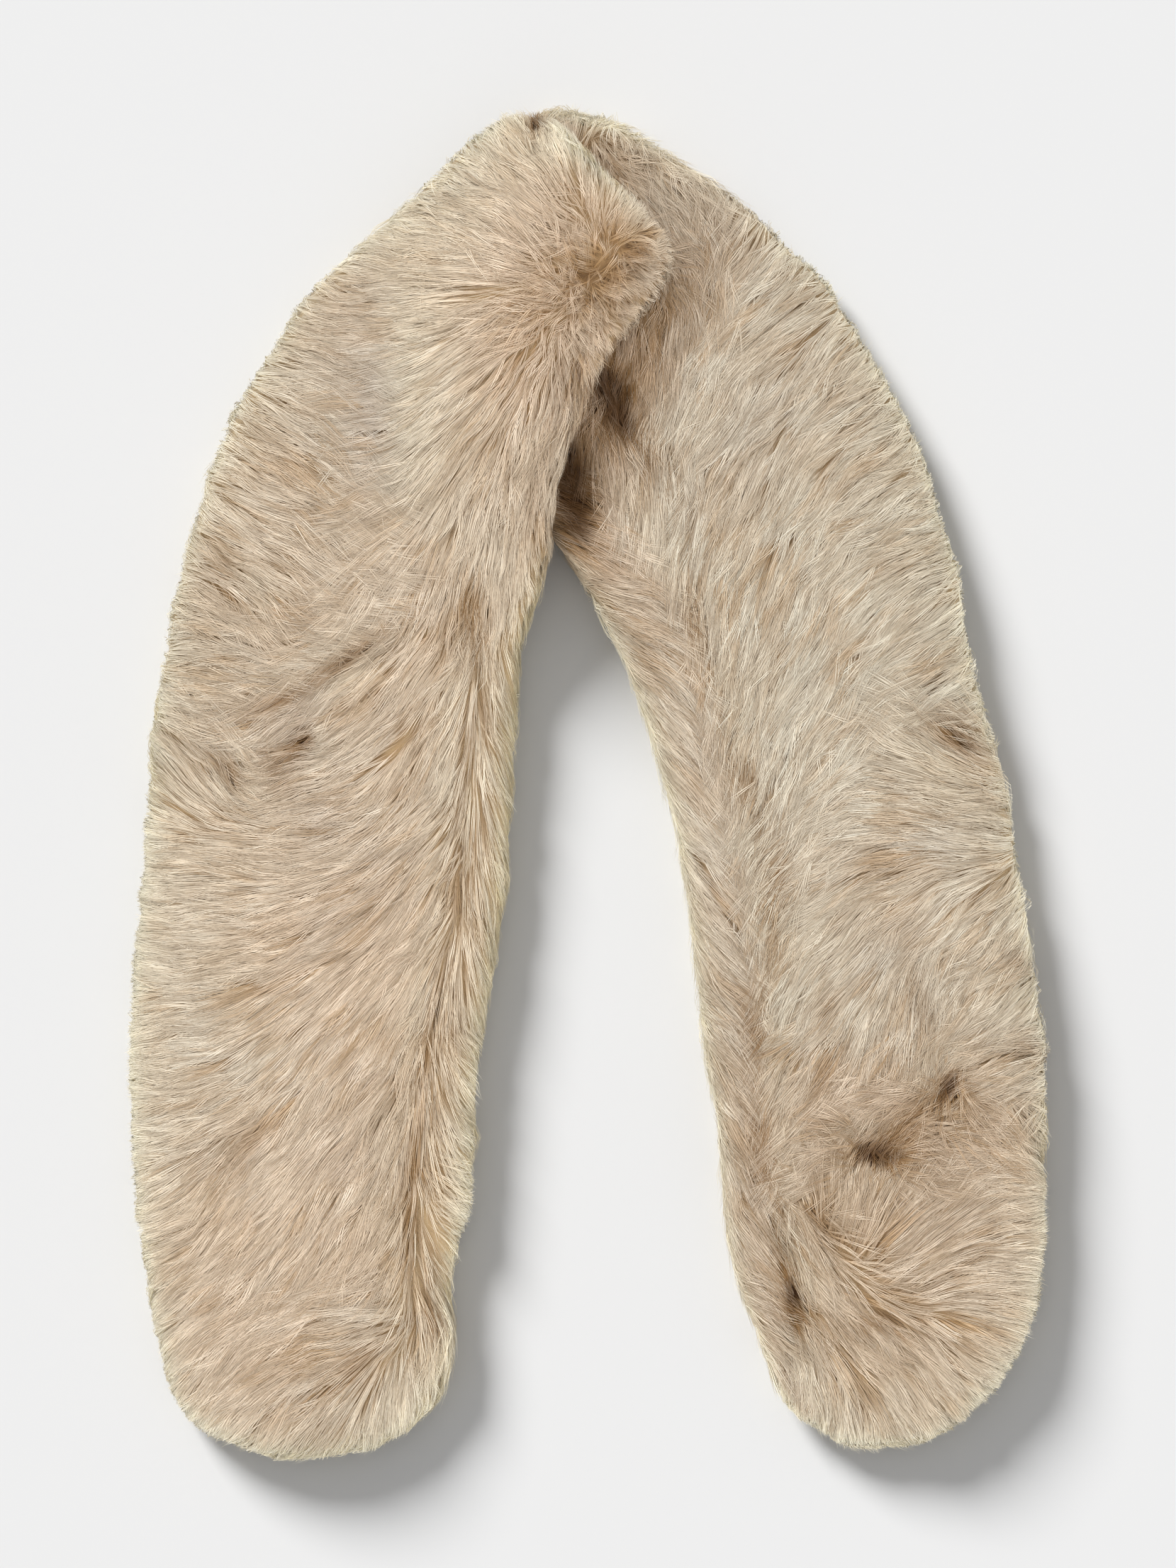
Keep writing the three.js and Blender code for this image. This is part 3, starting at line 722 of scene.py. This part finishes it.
def fur_material():
    """Hair: brown roots, beige lengths, cream tips, each lock its own tint."""
    made = bpy.data.materials.new("fur")
    made.use_nodes = True
    tree = made.node_tree
    shader = tree.nodes["Principled BSDF"]
    along, across, lock, tuft, strand, warm, edge, grey, parted, shaded, seam = (
        attribute(tree, name) for name in HAIR_VALUES)
    # Body and root, by the place, with cream painted light at the edges and grey painted shade in the hollows
    body = mixed(tree, warm, CREAM, ROSE)
    body = mixed(tree, times(tree, edge, LIT_EDGE_SHARE), body, LIT_EDGE_CREAM)
    body = mixed(tree, times(tree, grey, HOLLOW_SHADE_SHARE), body, HOLLOW_SHADE_GREY)
    root = mixed(tree, edge, ROOT, LIT_EDGE_CREAM)
    # From the root to the tip, with a fine thread of light along each hair
    below = plus(tree, times(tree, parted, ROOT_AT_PARTING), times(tree, lock, ROOT_IN_LOCK))
    colour = mixed(tree, times(tree, minus(tree, along, below), ROOT_FADE, clamp=True), root, body)
    threads = plus(tree, times(tree, across, THREADS), times(tree, strand, THREAD_SPREAD))
    noise = {"W": threads, "Scale": 1.0, "Detail": 1.0}
    thread = add_node(tree, "ShaderNodeTexNoise", noise, noise_dimensions="1D").outputs[0]
    glow = times(
        tree, reckoned(tree, "POWER", along, TIP_CURVE), minus(tree, thread, THREAD_START), clamp=True)
    colour = mixed(tree, glow, colour, TIP)
    colour = mixed(tree, times(tree, tuft, TUFT_SHARE), colour, root)
    # Some locks and dull hairs are golden, fewer at the edges
    dull = minus(tree, 1.0, strand)
    golden = plus(tree, times(tree, minus(tree, lock, GOLD_LOCKS_FROM), GOLD_LOCK_RATE, clamp=True), dull)
    gold_share = minus(tree, GOLD_SHARE, times(tree, edge, GOLD_LOST_AT_EDGE))
    golden = times(tree, golden, gold_share, clamp=True)
    colour = mixed(tree, golden, colour, GOLD)
    # Painted shade in brown in shaded places, deepest in the pits; brown roots at partings; seam streaks part
    # roots, part painted shade of gaps
    uneven = plus(tree, times(tree, lock, UNEVEN_LOCK), times(tree, dull, UNEVEN_HAIR))
    brown = times(tree, shaded, plus(tree, uneven, SHADE_BROWN_LEAST))
    brown = plus(tree, brown, times(tree, parted, BROWN_AT_PARTING))
    streak = times(tree, minus(tree, uneven, STREAKS_FROM), STREAK_RATE, clamp=True)
    brown = plus(tree, brown, times(tree, streak, times(tree, seam, STREAK_AT_SEAM)), clamp=True)
    colour = mixed(tree, times(tree, brown, ROOT_AND_SHADE_BROWN_SHARE), colour, ROOT_AND_SHADE_BROWN)
    # Painted shade: deep brown in the pits and darkest valleys
    deep_shade = times(tree, minus(tree, shaded, DEEP_SHADE_FROM), DEEP_SHADE_RATE, clamp=True)
    colour = mixed(tree, times(tree, deep_shade, DEEP_SHADE_SHARE), colour, DEEP_SHADE)
    # Each hair a little lighter or darker, and lighter at the edges by painted light
    value = plus(tree, plus(tree, times(tree, strand, STRAND_LIGHT), DULLEST), times(tree, edge, EDGE_LIGHT))
    colour = add_node(tree, "ShaderNodeHueSaturation", {"Color": colour, "Value": value}).outputs[0]
    tree.links.new(colour, shader.inputs["Base Color"])
    shader.inputs["Roughness"].default_value = 0.55
    shader.inputs["Specular IOR Level"].default_value = 0.35
    shader.inputs["Sheen Weight"].default_value = 0.12
    shader.inputs["Sheen Roughness"].default_value = 0.5
    return made


FUR = fur_material()
print("fur material:", len(FUR.node_tree.nodes), "nodes")

# %% [markdown]
# ## The skin's finish
# Under the hair lies the backing with its dense, short underfur. Only gaps between locks show it, so it is
# a brown, mottled felt.


# %% Underfur material
def underfur_material():
    """Short dense underfur: mottled brown felt with a fine bump."""
    made = bpy.data.materials.new("underfur")
    made.use_nodes = True
    tree = made.node_tree
    shader = tree.nodes["Principled BSDF"]
    place = add_node(tree, "ShaderNodeTexCoord").outputs["Object"]
    mottle = add_node(tree, "ShaderNodeTexNoise", {"Vector": place, "Scale": 160.0, "Detail": 4.0}).outputs[0]
    fine = add_node(tree, "ShaderNodeTexNoise", {"Vector": place, "Scale": 900.0, "Detail": 2.0}).outputs[0]
    colour = mixed(tree, mottle, FELT_DARK, FELT_PALE)
    # Painted light at the edges
    colour = mixed(tree, attribute(tree, "edge"), colour, LIT_FELT_EDGE)
    colour = mixed(tree, attribute(tree, "tousled"), colour, FELT_TOUSLED)
    colour = mixed(tree, attribute(tree, "parted"), colour, ROOT_AND_SHADE_BROWN)
    # Painted shade: deep brown in shaded places
    colour = mixed(tree, attribute(tree, "shaded"), colour, DEEP_SHADE)
    tree.links.new(colour, shader.inputs["Base Color"])
    bump = add_node(tree, "ShaderNodeBump", {"Strength": 0.6, "Distance": 1 * MM, "Height": fine})
    tree.links.new(bump.outputs[0], shader.inputs["Normal"])
    shader.inputs["Roughness"].default_value = 0.9
    shader.inputs["Sheen Weight"].default_value = 0.2
    return made


UNDERFUR = underfur_material()
print("underfur material:", len(UNDERFUR.node_tree.nodes), "nodes")

# %% [markdown]
# ## One sprig of hair
# Hairs leave the skin in small bunches. A sprig is a pair of fine hairs from one root, each a narrow strip of
# four triangles that ends in a point. It is made once, and each corner carries how far along and how far
# across it is. The tree bends it into place from those two numbers.

# %% Sprig of two hairs
# Each hair: how far along, and where its corners lie across
SPRIG_HAIRS = (
    ((0.0, (0.0,)), (0.38, (-1.3, -0.3)), (0.72, (-1.7, -0.8)), (1.0, (-1.6,))),
    ((0.0, (0.0,)), (0.34, (0.3, 1.3)), (0.66, (0.9, 1.8)), (0.9, (1.8,))),
)
HAIR_FACES = ((0, 1, 2), (1, 3, 4), (1, 4, 2), (3, 5, 4))


def sprig():
    """A unit sprig along +X."""
    hairs = [[(t, y) for t, row in hair for y in row] for hair in SPRIG_HAIRS]
    spots = [spot for hair in hairs for spot in hair]
    faces = [[corner + first for corner in face] for first in (0, len(hairs[0])) for face in HAIR_FACES]
    mesh = bpy.data.meshes.new("sprig")
    mesh.from_pydata([(t, y, 0.0) for t, y in spots], [], faces)
    keep_value(mesh, "along", np.array([t for t, _ in spots]))
    keep_value(mesh, "across", np.array([y for _, y in spots]))
    mesh.shade_smooth()
    made = new_object("sprig", mesh)
    made.hide_render = True
    return made


SPRIG = sprig()
print("sprig triangles:", triangles(SPRIG.data))

# %% [markdown]
# ## Helpers for Geometry Nodes
# Each helper adds one node to a tree and returns the socket that the next one takes, so the tree reads like
# a sum. Every random number has a fixed seed.


# %% Node helpers
def vector(tree, work, first, second=(0.0, 0.0, 0.0)):
    """Two vectors worked into one, as a socket."""
    return add_node(tree, "ShaderNodeVectorMath", {0: first, 1: second}, operation=work).outputs[0]


def scaled(tree, first, factor):
    """A vector times a number, as a socket."""
    return add_node(tree, "ShaderNodeVectorMath", {0: first, "Scale": factor}, operation="SCALE").outputs[0]


def dot(tree, first, second):
    """The dot product of two vectors, as a socket."""
    made = add_node(tree, "ShaderNodeVectorMath", {0: first, 1: second}, operation="DOT_PRODUCT")
    return made.outputs["Value"]


def triple(tree, x, y, z):
    """A vector of three numbers, as a socket."""
    return add_node(tree, "ShaderNodeCombineXYZ", {0: x, 1: y, 2: z}).outputs[0]


def carried(tree, name, kind="FLOAT"):
    """A value that the geometry carries under a name, as a socket."""
    made = add_node(tree, "GeometryNodeInputNamedAttribute", {"Name": name}, data_type=kind)
    return made.outputs["Attribute"]


def stored(tree, geometry, name, value, kind="FLOAT"):
    """Geometry that carries a value under a name, as a socket."""
    made = add_node(
        tree, "GeometryNodeStoreNamedAttribute",
        {"Geometry": geometry, "Name": name, "Value": value}, data_type=kind, domain="POINT")
    return made.outputs["Geometry"]


def chance(tree, low, high, seed, of=None):
    """A random number for each point, or for each value of another number, as a socket."""
    made = add_node(tree, "FunctionNodeRandomValue", data_type="FLOAT")
    ports = {s.name: s for s in made.inputs if s.enabled}
    ports["Min"].default_value = low
    ports["Max"].default_value = high
    if of is not None:
        tree.links.new(of, ports["ID"])
    if isinstance(seed, bpy.types.NodeSocket):
        tree.links.new(seed, ports["Seed"])
    else:
        ports["Seed"].default_value = seed
    return next(s for s in made.outputs if s.enabled)


print("node helpers ready")

# %% [markdown]
# ## The fur tree
# Points are scattered on the skin where hair can grow. Each point looks up the nearest lock and the nearest
# tuft, two coarser scatters, so that the tips of a lock lean together. Then each hair walks along the arm's
# outer form in three steps, in the direction of its comb, and the stops of that walk are kept. Last, a sprig
# is put on each point and bent through the stops, so the hair bends over the edges as the real pile does.
# The painted shade, the grey painted shade of hollows, the seam tone and the painted edge light are taken
# from the skin under each corner of the hair, where it is seen.

# %% The fur tree
FUR_INPUTS = (
    ("Density", "NodeSocketFloat", 600000.0), ("Seed", "NodeSocketInt", 1),
    ("Length", "NodeSocketFloat", HAIR_LENGTH), ("Width", "NodeSocketFloat", 0.24 * MM),
    ("Fluff", "NodeSocketFloat", 1.6 * MM), ("Lock Density", "NodeSocketFloat", 45000.0),
    ("Tuft Density", "NodeSocketFloat", 7000.0), ("Lock Pull", "NodeSocketFloat", 0.5),
    ("Tuft Pull", "NodeSocketFloat", 0.3), ("Wave", "NodeSocketFloat", 5 * MM),
)
STOPS = (0.0, 0.38, 0.7, 1.0)
SIDE_TURN = 1.5
EDGE_FLUFF = 1.4 * MM
GATHER = 1.3
# Turns off the comb, in radians: of a lock, a tuft and a single hair
LOCK_TURN, TUFT_TURN, HAIR_TURN = 0.14, 0.16, 0.08
# How much more a lock turns where it is parted or tousled, and a hair where it is loose
PARTED_TURN, TOUSLED_TURN, LOOSE_TURN, TOUSLED_LOOSE = 4.0, 8.0, 4.0, 2.5
# One hair in 25 is a stray one
STRAY_FROM = 0.96
# How much shorter hair is where it is parted or tousled, and how much fluffier where it is parted
PARTED_LENGTH, TOUSLED_LENGTH, PARTED_FLUFF = -0.35, -0.6, 0.8
# Least and most that chance makes of a hair's length, rise and width, by the hair and by the lock
HAIR_LENGTHS, LOCK_LENGTHS = (0.75, 1.15), (0.8, 1.15)
HAIR_RISES, LOCK_RISES, STANDING_RISES = (0.1, 1.2), (0.4, 1.5), (0.3, 1.0)
HAIR_WIDTHS = (0.6, 1.3)
WAVE_SCALE = 90.0
LOWEST_HAIR = 0.3 * MM
# Tones that belong to the place where a hair is seen, not to its root: painted shade, grey painted shade,
# seam tone and painted edge light
SEEN_VALUES = ("shaded", "grey", "edge", "seam")


def nearest_group(tree, skin, density, seed, place):
    """The vector from a point to the nearest of a coarser scatter, and that group's number."""
    groups = add_node(
        tree, "GeometryNodeDistributePointsOnFaces", {"Mesh": skin, "Density": density, "Seed": seed}
    ).outputs["Points"]
    index = add_node(tree, "GeometryNodeSampleNearest", {"Geometry": groups}, domain="POINT").outputs["Index"]
    middle = add_node(
        tree, "GeometryNodeSampleIndex", {"Geometry": groups, "Value": place, "Index": index},
        data_type="FLOAT_VECTOR", domain="POINT").outputs["Value"]
    return vector(tree, "SUBTRACT", middle, place), index


def nearest_on(tree, form, spot):
    """The nearest place on the form to a spot, and the outward direction there."""
    found = []
    for kind in ("GeometryNodeInputPosition", "GeometryNodeInputNormal"):
        value = add_node(tree, kind).outputs[0]
        inputs = {"Mesh": form, "Value": value, "Sample Position": spot}
        found.append(add_node(
            tree, "GeometryNodeSampleNearestSurface", inputs, data_type="FLOAT_VECTOR").outputs["Value"])
    return found


def way_along(tree, heading, out):
    """The direction in which a heading runs on along a surface, over its edges too."""
    sink = times(tree, dot(tree, heading, out), -SIDE_TURN)
    way = vector(tree, "ADD", heading, triple(tree, 0.0, 0.0, sink))
    way = vector(tree, "SUBTRACT", way, scaled(tree, out, dot(tree, way, out)))
    return vector(tree, "NORMALIZE", way)


def walked(tree, form, root, heading, length, pull, rise):
    """The stops of a hair that walks along the form, and the direction across it."""
    spot, out = nearest_on(tree, form, root)
    depth = add_node(
        tree, "ShaderNodeVectorMath", {0: root, 1: spot}, operation="DISTANCE").outputs["Value"]
    stops = [root]
    for start, end in zip(STOPS, STOPS[1:]):
        way = way_along(tree, heading, out)
        step = scaled(tree, way, times(tree, length, end - start))
        lean = scaled(tree, pull, end ** GATHER - start ** GATHER)
        spot, out = nearest_on(tree, form, vector(tree, "ADD", spot, vector(tree, "ADD", step, lean)))
        height = minus(tree, times(tree, rise, end), times(tree, depth, (1 - end) ** 2))
        stops.append(vector(tree, "ADD", spot, scaled(tree, out, height)))
    across = vector(tree, "CROSS_PRODUCT", out, way_along(tree, heading, out))
    return stops, across


def fur_tree():
    """The node group that grows combed fur on a skin, along an outer form."""
    tree = bpy.data.node_groups.new("grow_fur", "GeometryNodeTree")
    for name, kind in (("Skin", "Geometry"), ("Form", "Object"), ("Sprig", "Object"), ("Finish", "Material")):
        tree.interface.new_socket(name, in_out="INPUT", socket_type="NodeSocket" + kind)
    for name, kind, value in FUR_INPUTS:
        tree.interface.new_socket(name, in_out="INPUT", socket_type=kind).default_value = value
    tree.interface.new_socket("Fur", in_out="OUTPUT", socket_type="NodeSocketGeometry")
    given = add_node(tree, "NodeGroupInput").outputs
    seed = given["Seed"]
    place = add_node(tree, "GeometryNodeInputPosition").outputs[0]
    form = add_node(tree, "GeometryNodeObjectInfo", {"Object": given["Form"]}).outputs["Geometry"]
    sprigs = add_node(tree, "GeometryNodeObjectInfo", {"Object": given["Sprig"]}).outputs["Geometry"]

    def own(low, high, number):
        return chance(tree, low, high, plus(tree, seed, float(number)))

    def product(*factors):
        made = factors[0]
        for factor in factors[1:]:
            made = times(tree, made, factor)
        return made

    # Scatter the roots, and find the lock and the tuft of each
    density = product(given["Density"], carried(tree, "grow"))
    points = add_node(
        tree, "GeometryNodeDistributePointsOnFaces", {"Mesh": given["Skin"], "Density": density, "Seed": seed}
    ).outputs["Points"]
    to_lock, lock = nearest_group(
        tree, given["Skin"], given["Lock Density"], plus(tree, seed, 101.0), place)
    to_tuft, tuft = nearest_group(
        tree, given["Skin"], given["Tuft Density"], plus(tree, seed, 202.0), place)
    strand = own(0.0, 1.0, 0)

    # Turn each hair off the comb a little, more where the fur is parted or tousled
    parted, tousled = carried(tree, "parted"), carried(tree, "tousled")
    stray = reckoned(tree, "GREATER_THAN", strand, STRAY_FROM)
    ruffled = plus(tree, grown_by(tree, parted, PARTED_TURN), product(tousled, TOUSLED_TURN))
    lock_turn = product(chance(tree, -LOCK_TURN, LOCK_TURN, 13, of=lock), ruffled)
    tuft_turn = chance(tree, -TUFT_TURN, TUFT_TURN, 14, of=tuft)
    loose = plus(tree, plus(tree, parted, stray), product(tousled, TOUSLED_LOOSE))
    own_turn = product(own(-HAIR_TURN, HAIR_TURN, 6), grown_by(tree, loose, LOOSE_TURN))
    turn = plus(tree, plus(tree, lock_turn, tuft_turn), own_turn)
    heading = add_node(
        tree, "ShaderNodeVectorRotate", {"Vector": carried(tree, "heading", "FLOAT_VECTOR"), "Angle": turn},
        rotation_type="Z_AXIS").outputs[0]

    # Walk it along the form
    length = product(
        given["Length"], own(*HAIR_LENGTHS, 7), chance(tree, *LOCK_LENGTHS, 15, of=lock),
        carried(tree, "reach"), grown_by(tree, parted, PARTED_LENGTH),
        grown_by(tree, tousled, TOUSLED_LENGTH))
    pull = vector(
        tree, "ADD", scaled(tree, to_lock, given["Lock Pull"]), scaled(tree, to_tuft, given["Tuft Pull"]))
    rise = product(
        given["Fluff"], own(*HAIR_RISES, 5), chance(tree, *LOCK_RISES, 16, of=lock),
        grown_by(tree, parted, PARTED_FLUFF))
    rise = plus(tree, rise, product(carried(tree, "edge"), EDGE_FLUFF))
    rise = plus(tree, rise, product(carried(tree, "standing"), own(*STANDING_RISES, 8), HIGHEST * MM))
    stops, across = walked(tree, form, place, heading, length, pull, rise)
    values = {
        "strand": strand, "lock": chance(tree, 0.0, 1.0, 11, of=lock),
        "tuft": chance(tree, 0.0, 1.0, 12, of=tuft),
        "width": product(given["Width"], own(*HAIR_WIDTHS, 9)),
    }
    for name, value in values.items():
        points = stored(tree, points, name, value)
    for number, stop in enumerate(stops):
        points = stored(tree, points, f"stop_{number}", stop, "FLOAT_VECTOR")
    points = stored(tree, points, "side", across, "FLOAT_VECTOR")

    # Put a sprig on each root and bend it through the stops
    hair = add_node(tree, "GeometryNodeInstanceOnPoints", {"Points": points, "Instance": sprigs}).outputs[0]
    hair = add_node(tree, "GeometryNodeRealizeInstances", {"Geometry": hair}).outputs[0]
    along = carried(tree, "along")
    stops = [carried(tree, f"stop_{number}", "FLOAT_VECTOR") for number in range(len(STOPS))]
    spot = stops[0]
    for number, (start, end) in enumerate(zip(STOPS, STOPS[1:])):
        share = product(minus(tree, along, start), 1 / (end - start))
        share = plus(tree, share, 0.0, clamp=True)
        leg = vector(tree, "SUBTRACT", stops[number + 1], stops[number])
        spot = vector(tree, "ADD", spot, scaled(tree, leg, share))
    aside = product(carried(tree, "width"), carried(tree, "across"))
    spot = vector(tree, "ADD", spot, scaled(tree, carried(tree, "side", "FLOAT_VECTOR"), aside))
    noise = {"Vector": spot, "Scale": WAVE_SCALE, "Detail": 1.0}
    wave = add_node(tree, "ShaderNodeTexNoise", noise).outputs[1]
    wave = vector(tree, "SUBTRACT", wave, (0.5, 0.5, 0.5))
    spot = vector(tree, "ADD", spot, scaled(tree, wave, product(along, given["Wave"])))
    spot = vector(tree, "MAXIMUM", spot, (-10.0, -10.0, LOWEST_HAIR))
    hair = add_node(tree, "GeometryNodeSetPosition", {"Geometry": hair, "Position": spot}).outputs[0]
    for name in SEEN_VALUES:
        inputs = {"Mesh": given["Skin"], "Value": carried(tree, name), "Sample Position": place}
        seen = add_node(tree, "GeometryNodeSampleNearestSurface", inputs, data_type="FLOAT").outputs["Value"]
        hair = stored(tree, hair, name, seen)
    finished = add_node(tree, "GeometryNodeSetMaterial", {"Geometry": hair, "Material": given["Finish"]})
    add_node(tree, "NodeGroupOutput", {"Fur": finished.outputs[0]})
    return tree


FUR_TREE = fur_tree()
print("fur tree:", len(FUR_TREE.nodes), "nodes")

# %% [markdown]
# ## Grow the fur
# The face of each arm and its back band are grown as pieces of their own, the long face in two halves, so
# that none is too heavy. The number of hairs sets the density from the free area of the skin.

# %% Grow the fur pieces
# Spans of y in metres: all of an arm, and its lower and upper half
WHOLE, LOWER, UPPER = (-1.0, 1.0), (-1.0, -0.02), (-0.02, 1.0)
FUR_PIECES = (
    # name, arm, on the front panel, lowest and highest y, sprigs, seed
    ("left_face_fur_lower", "left", True, LOWER, 20000, 1),
    ("left_face_fur_upper", "left", True, UPPER, 20000, 2),
    ("right_face_fur_lower", "right", True, LOWER, 20000, 3),
    ("right_face_fur_upper", "right", True, UPPER, 20000, 4),
    ("left_band_fur", "left", False, WHOLE, 16500, 5),
    ("right_band_fur", "right", False, WHOLE, 16500, 6),
    ("neck_fold_fur", "neck_fold", True, WHOLE, 1500, 7),
)
# Numbers that only the growing needs
GROWTH_VALUES = ("heading", "reach", "grow", "cover", "tousled", "standing", "width", "side")
GROWTH_VALUES += tuple(f"stop_{number}" for number in range(len(STOPS)))
TOUSLE_GROWTH = 1.5
EDGE_GROWTH = 0.35


def grown_area(mesh, grow):
    """The area of a mesh, each face weighted by the mean of a value at its corners."""
    return sum(f.area * float(np.mean(grow[list(f.vertices)])) for f in mesh.polygons)


def grow_fur(name, arm, front, span, hairs, seed):
    """One piece of fur, grown by the node tree and made a plain mesh."""
    skin = skins[arm].copy()
    places = corners(skin)
    cover, tousled, edge = (kept_value(skin, value) for value in ("cover", "tousled", "edge"))
    inside = (places[:, 1] >= span[0]) & (places[:, 1] < span[1]) & (on_front[arm] == front)
    grow = cover * inside * (1 + TOUSLE_GROWTH * tousled + EDGE_GROWTH * edge)
    keep_value(skin, "grow", grow)
    made = new_object(name, skin)
    tree = made.modifiers.new("fur", "NODES")
    tree.node_group = FUR_TREE
    values = {
        "Form": forms[arm], "Sprig": SPRIG, "Finish": FUR, "Seed": seed,
        "Density": hairs / grown_area(skin, grow),
    }
    for socket in FUR_TREE.interface.items_tree:
        if socket.in_out == "INPUT" and socket.name in values:
            tree[socket.identifier] = values[socket.name]
    made.data = finished_mesh(made, name)
    made.data.shade_smooth()
    for layer in [a.name for a in made.data.attributes]:
        if layer in GROWTH_VALUES:
            made.data.attributes.remove(made.data.attributes[layer])
    bpy.data.meshes.remove(skin)
    return made


fur = {}
for row in FUR_PIECES:
    fur[row[0]] = grow_fur(*row)
    print(row[0], triangles(fur[row[0]].data), "triangles")

# %% [markdown]
# ## The skins as cloth
# The tube is two strips of cloth, so each skin is split along the seam into a front and a back strip, and
# each strip is a thin wall, as cloth is. The return of the fold is almost hidden and stays one closed form.
# They take the place of the solids.

# %% Skin pieces
SKIN_WALL = 1.6 * MM


def skin_piece(name, arm, front):
    """A thin wall of backing cloth on the form of one panel."""
    work = bmesh.new()
    work.from_mesh(skins[arm])
    side = on_front[arm]
    gone = [f for f in work.faces if (np.mean([side[v.index] for v in f.verts]) >= 0.5) != front]
    bmesh.ops.delete(work, geom=gone, context="FACES")
    mesh = bpy.data.meshes.new(name)
    work.to_mesh(mesh)
    work.free()
    made = new_object(name, mesh)
    wall = made.modifiers.new("wall", "SOLIDIFY")
    wall.thickness = SKIN_WALL
    wall.offset = -1.0
    made.data = finished_mesh(made, name)
    made.data.materials.clear()
    made.data.materials.append(UNDERFUR)
    made.data.shade_smooth()
    return made


SKIN_PIECES = (
    # name, arm, on the front panel
    ("left_front_skin", "left", True), ("left_back_skin", "left", False),
    ("right_front_skin", "right", True), ("right_back_skin", "right", False),
)
skin_objects = {row[0]: skin_piece(*row) for row in SKIN_PIECES}
fold = new_object("neck_fold_skin", skins["neck_fold"].copy())
fold.data.materials.clear()
fold.data.materials.append(UNDERFUR)
skin_objects["neck_fold_skin"] = fold
for name, made in skin_objects.items():
    area = sum(f.area for f in made.data.polygons) / 2
    print(name, triangles(made.data), "triangles", round(area, 4), "square metres")

# %% [markdown]
# ## Ride on the body
# Every piece rides on the one body. The skins stand for the solids, which are hidden, and their fur goes with
# them.

# %% Ride and replace
# Width and length of the cut that shows
FACE_CUT = (110 * MM, 520 * MM)
BACK_CUT = (130 * MM, 520 * MM)
FOLD_CUT = (45 * MM, 85 * MM)
SHEETS = (
    ("left_front_skin", "left_front_panel", FACE_CUT, ("left_face_fur_lower", "left_face_fur_upper")),
    ("left_back_skin", "left_back_panel", BACK_CUT, ("left_band_fur",)),
    ("right_front_skin", "right_front_panel", FACE_CUT, ("right_face_fur_lower", "right_face_fur_upper")),
    ("right_back_skin", "right_back_panel", BACK_CUT, ("right_band_fur",)),
    ("neck_fold_skin", "neck_fold_return", FOLD_CUT, ("neck_fold_fur",)),
)
for made in (*skin_objects.values(), *fur.values()):
    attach(made, "root")
for name, node, cut, pieces in SHEETS:
    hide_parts(node)
for helper in (*forms.values(), SPRIG):
    bpy.data.objects.remove(helper)
total = sum(triangles(o.data) for o in (*skin_objects.values(), *fur.values()))
print("triangles in all:", total)

# %% [markdown]
# ## Table and light
# The wrap lies on a plain pale table. In the photograph its shadow on the table is much stronger than the
# shading of the fur, so each has a light of its own: a low one from the upper left throws the soft shadow on
# the table, and the fur gets a broad one from above, with a weaker one from the right that fills its far
# sides. An even white surround does the rest.

# %% Table and lights
FLOOR_SIZE = 14.0
FLOOR_COLOUR = linear(236, 236, 236)
SURROUND = 0.39
# Lights: lean from the vertical, turn that it comes from, softness, all in degrees, and power
TABLE_LIGHT = (61, 127, 20, 4.15)
FUR_LIGHT = (18, 160, 90, 2.1)
FUR_FILL = (65, 5, 120, 1.0)
LIGHT_HEIGHT = 2.0

floor_mesh = bpy.data.meshes.new("table")
half = FLOOR_SIZE / 2
floor_mesh.from_pydata(
    [(-half, -half, 0), (half, -half, 0), (half, half, 0), (-half, half, 0)], [], [(0, 1, 2, 3)])
floor_material = bpy.data.materials.new("table")
floor_material.use_nodes = True
floor_shader = floor_material.node_tree.nodes["Principled BSDF"]
floor_shader.inputs["Base Color"].default_value = FLOOR_COLOUR
floor_shader.inputs["Roughness"].default_value = 0.9
floor_shader.inputs["Specular IOR Level"].default_value = 0.1
floor_mesh.materials.append(floor_material)
floor = new_object("table", floor_mesh)

world = bpy.data.worlds.new("studio")
world.use_nodes = True
world.node_tree.nodes["Background"].inputs[0].default_value = (1, 1, 1, 1)
world.node_tree.nodes["Background"].inputs[1].default_value = SURROUND
bpy.context.scene.world = world


def sun(name, lean, turn, softness, power, lit):
    """A far soft light that leans from the vertical and comes from a turn, shining on some objects only."""
    data = bpy.data.lights.new(name, "SUN")
    data.angle = radians(softness)
    data.energy = power
    made = bpy.data.objects.new(name, data)
    made.rotation_euler = (radians(lean), 0.0, radians(turn) + radians(90))
    made.location = (0, 0, LIGHT_HEIGHT)
    bpy.context.scene.collection.objects.link(made)
    group = bpy.data.collections.new(name + "_on")
    for one in lit:
        group.objects.link(one)
    made.light_linking.receiver_collection = group
    return made


soft_pieces = [*skin_objects.values(), *fur.values()]
sun("table_light", *TABLE_LIGHT, [floor])
sun("fur_light", *FUR_LIGHT, soft_pieces)
sun("fur_fill", *FUR_FILL, soft_pieces)
bpy.context.scene.view_settings.view_transform = "Standard"
